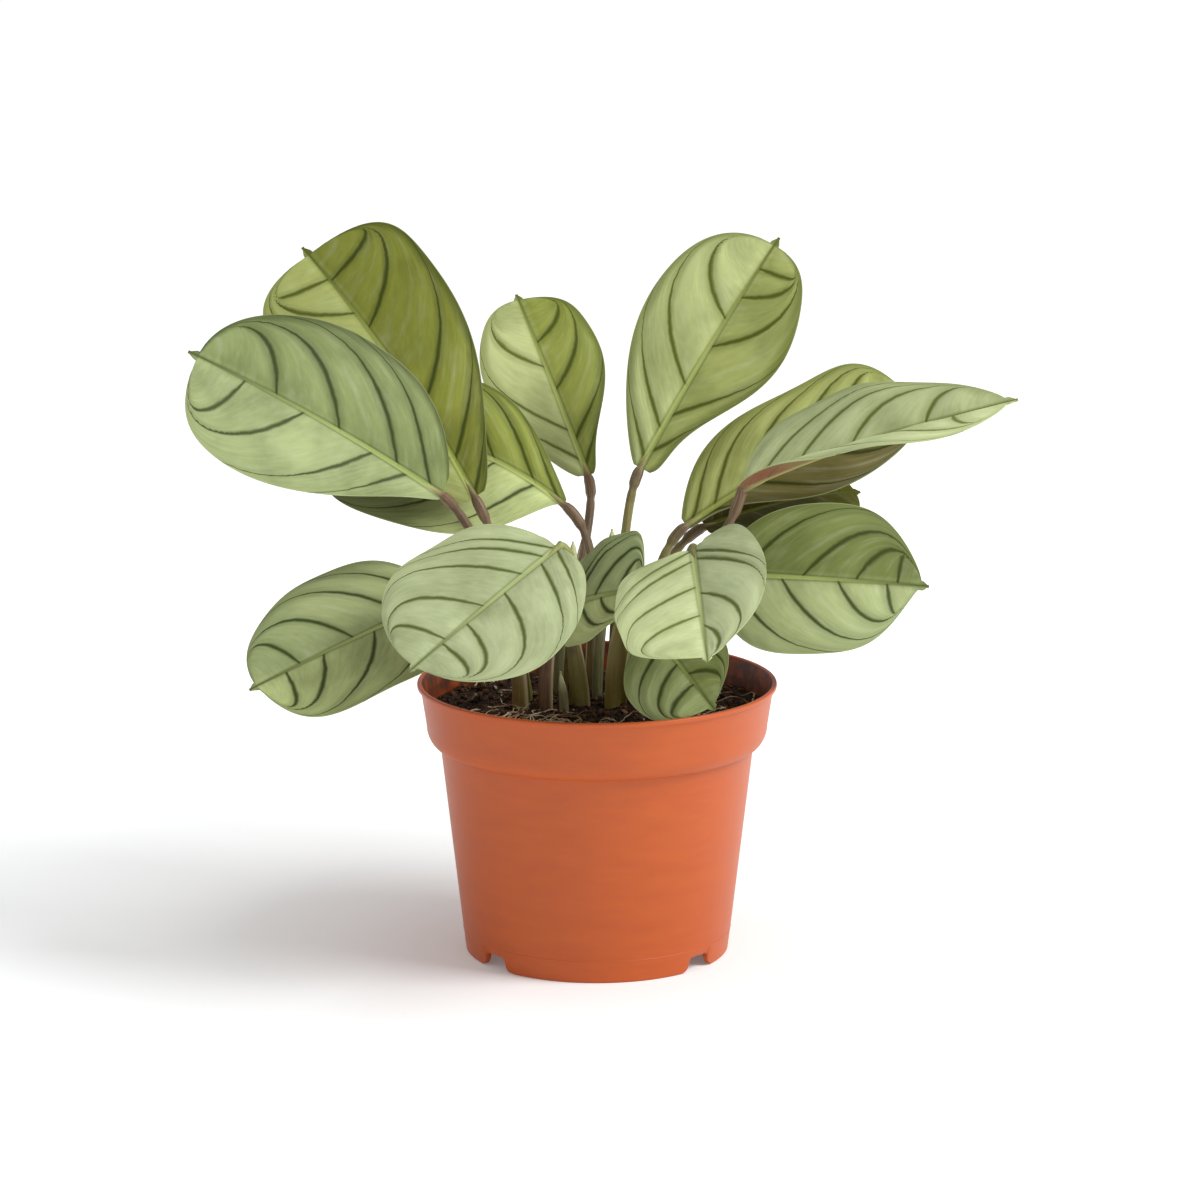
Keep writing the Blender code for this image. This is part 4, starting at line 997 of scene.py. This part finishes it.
def stalk_mesh(name, leaf):
    path = stalk_path(leaf)
    steps = np.linspace(0, 1, STALK_RINGS)
    centres = [path[0] - np.array((0, 0, STALK_SINK))] + [bezier(path, t) for t in steps]
    length = np.linalg.norm(path[3] - path[0])
    radii = []
    laps = []
    for t in np.concatenate(([0.0], steps)):
        sheath = (leaf["sheath"] - STALK_WAIST) * max(0, 1 - t / SHEATH_SHARE) ** SHEATH_POWER
        in_joint = (t - 1) * length / JOINT_LENGTH + 1
        swell = (JOINT_RADIUS - STALK_WAIST) * smooth(in_joint, 0, 0.25)
        swell -= JOINT_NECK * math.exp(-((in_joint + 0.05) / 0.12) ** 2)
        radii.append(STALK_WAIST + sheath + swell - JOINT_TAPER * smooth(in_joint, 0.8, 1.0))
        laps.append(SHEATH_LAP * (1 - smooth(t, SHEATH_SHARE - 0.08, SHEATH_SHARE)))
    u = np.linspace(BLADE_START, KEEL_SHARE, KEEL_RINGS)
    keel = blade_surface(leaf, u, np.array([-0.02, 0.0, 0.02]))
    drop = surface_normals(keel)[:, 1] * KEEL_DROP
    spots = keel[:, 1] - drop * np.linspace(0.4, 1, KEEL_RINGS)[:, None]
    for share, spot in zip(np.linspace(0, 1, KEEL_RINGS), spots):
        centres.append(spot)
        radii.append(KEEL_RADIUS - KEEL_TAPER * share)
        laps.append(0.0)
    outer_turn = math.atan2(leaf["foot"][1], leaf["foot"][0])
    return tube_mesh("stalk_" + name, centres, radii, laps, outer_turn + LAP_TURN)


def rib_nodes(tree, turns, stretch, scale):
    """Places round and along a tube, and noise drawn out into fine ribs that run up it."""
    place_on = add(tree, "Attribute", out="Vector", attribute_name="stalk_place")
    travelled = add(tree, "SeparateXYZ", {0: place_on})
    around, share = (travelled.node.outputs[axis] for axis in "YZ")
    rib_along = add(tree, "Math", {0: travelled, 1: stretch}, operation="MULTIPLY")
    rib_around = add(tree, "Math", {0: around, 1: turns}, operation="MULTIPLY")
    rib_place = add(tree, "CombineXYZ", {0: rib_around, 1: rib_along})
    ribs = add(tree, "TexNoise", {"Vector": rib_place, "Scale": scale, "Detail": 3.0})
    return around, share, ribs


# Stalk skin: satin, with fine ribs along it about 0.4 mm apart, paler flecks, a dry pale
# edge on the sheath, and a colour that changes from foot to joint.
def stalk_skin(name, foot, middle, joint):
    material, tree, shader = new_material(name, 0.5, 1.45)
    around, share, ribs = rib_nodes(tree, 14.0, 0.05, 1.6)
    lower, upper, keel = (add(tree, "MapRange", {"Value": share, "From Min": low, "From Max": high})
                          for low, high in ((0.1, 0.45), (0.70, 0.84), (0.90, 0.97)))
    fibre = add(tree, "MapRange", {"Value": ribs, "From Min": 0.35, "From Max": 0.7,
                                   "To Max": 0.45})
    where = add(tree, "TexCoord", out="Object")
    stain = add(tree, "TexNoise", {"Vector": where, "Scale": 90.0, "Detail": 4.0})
    stain = add(tree, "MapRange", {"Value": stain, "From Min": 0.48, "From Max": 0.68,
                                   "To Max": 0.6})
    edge = add(tree, "MapRange", {"Value": around, "From Min": 0.92, "From Max": 0.97})
    on_sheath = add(tree, "MapRange", {"Value": share, "From Min": 0.52, "From Max": 0.48})
    edge = add(tree, "Math", {0: edge, 1: on_sheath}, operation="MULTIPLY")
    colour = linear(foot)
    for coat, tint in ((lower, middle), (upper, joint), (keel, "#A4A662"), (fibre, "#A89A72"),
                       (stain, "#4E3A28"), (edge, "#C9BE94")):
        colour = add(tree, "Mix", {0: coat, 6: colour, 7: linear(tint)}, **AS_COLOUR)
    dress(tree, shader, colour, ribs, 0.0003, 0.6)
    return material


skins = {slot: stalk_skin("ctenanthe_" + slot, *tones) for slot, tones in STALK_COLOURS.items()}
for name, leaf in LEAVES.items():
    node = "stalk_" + name
    skin = skins[leaf.get("skin", slots[node])]
    finish_mesh("leaf_" + node, stalk_mesh(name, leaf), [skin], [node],
                sharp=55)

# ---- Rolled new leaves and a dry sheath -----------------------------------------
# Two young leaves still rolled into slender spears, pale cream green, stand in the
# crown, and one thin papery sheath stands by the soil. Each is a lapped tube.

SHOOTS = {                  # foot, tip, greatest radius, lap of the edge, and a power of its own
    "rolled_leaf_right": dict(foot=(0, 4), tip=(5, 4, 142), radius=1.7, lap=0.7),
    "rolled_leaf_left": dict(foot=(-13, 13), tip=(-8, 17, 135), radius=1.6, lap=0.7),
    "papery_sheath": dict(foot=(-11, -15), tip=(-12, -15, 98), radius=1.5, lap=0.9, power=2),
}
SHOOT_TIP_SHARE = 0.2       # least share of its radius that a shoot keeps at the tip
SHOOT_POWER = 14            # the higher, the nearer to the tip a shoot stays wide
SHOOT_RINGS = 48

# Waxy young leaf: cream green fibres about 0.8 mm apart run up it, and its foot is in shade.
young, tree, shader = new_material("young_rolled_leaf", 0.55, 1.42)
around, share, ribs = rib_nodes(tree, 10.0, 0.06, 1.4)
fibre = add(tree, "MapRange", {"Value": ribs, "From Min": 0.35, "From Max": 0.65})
shaded = add(tree, "MapRange", {"Value": share, "From Min": 0.35, "From Max": 0.75,
                                "To Min": 0.75, "To Max": 0.0})
edge = add(tree, "MapRange", {"Value": around, "From Min": 0.90, "From Max": 0.97})
young_colour = linear("#A2A468")
for coat, tint in ((fibre, "#E4E6B8"), (shaded, "#5C5A30"), (edge, "#E2DCB8")):
    young_colour = add(tree, "Mix", {0: coat, 6: young_colour, 7: linear(tint)}, **AS_COLOUR)
dress(tree, shader, young_colour, ribs, 0.0003, 0.6)

for name, shoot in SHOOTS.items():
    foot = np.array((*shoot["foot"], SOIL_CROWN_Z))
    tip = np.array(shoot["tip"], float)
    rise = np.array((0, 0, 0.5 * (tip[2] - foot[2])))
    path = (foot, foot + rise, tip - 0.5 * rise, tip)
    steps = np.linspace(0, 1, SHOOT_RINGS)
    centres = [foot - np.array((0, 0, STALK_SINK))] + [bezier(path, t) for t in steps]
    radii = [shoot["radius"]]
    radii += [shoot["radius"] * max(SHOOT_TIP_SHARE, 1 - t ** shoot.get("power", SHOOT_POWER))
              for t in steps]
    laps = [shoot["lap"] * radius / shoot["radius"] for radius in radii]
    tube = tube_mesh(name, centres, radii, laps, lap_turn=2.0)
    finish_mesh("young_" + name, tube, [young], [name], sharp=55)
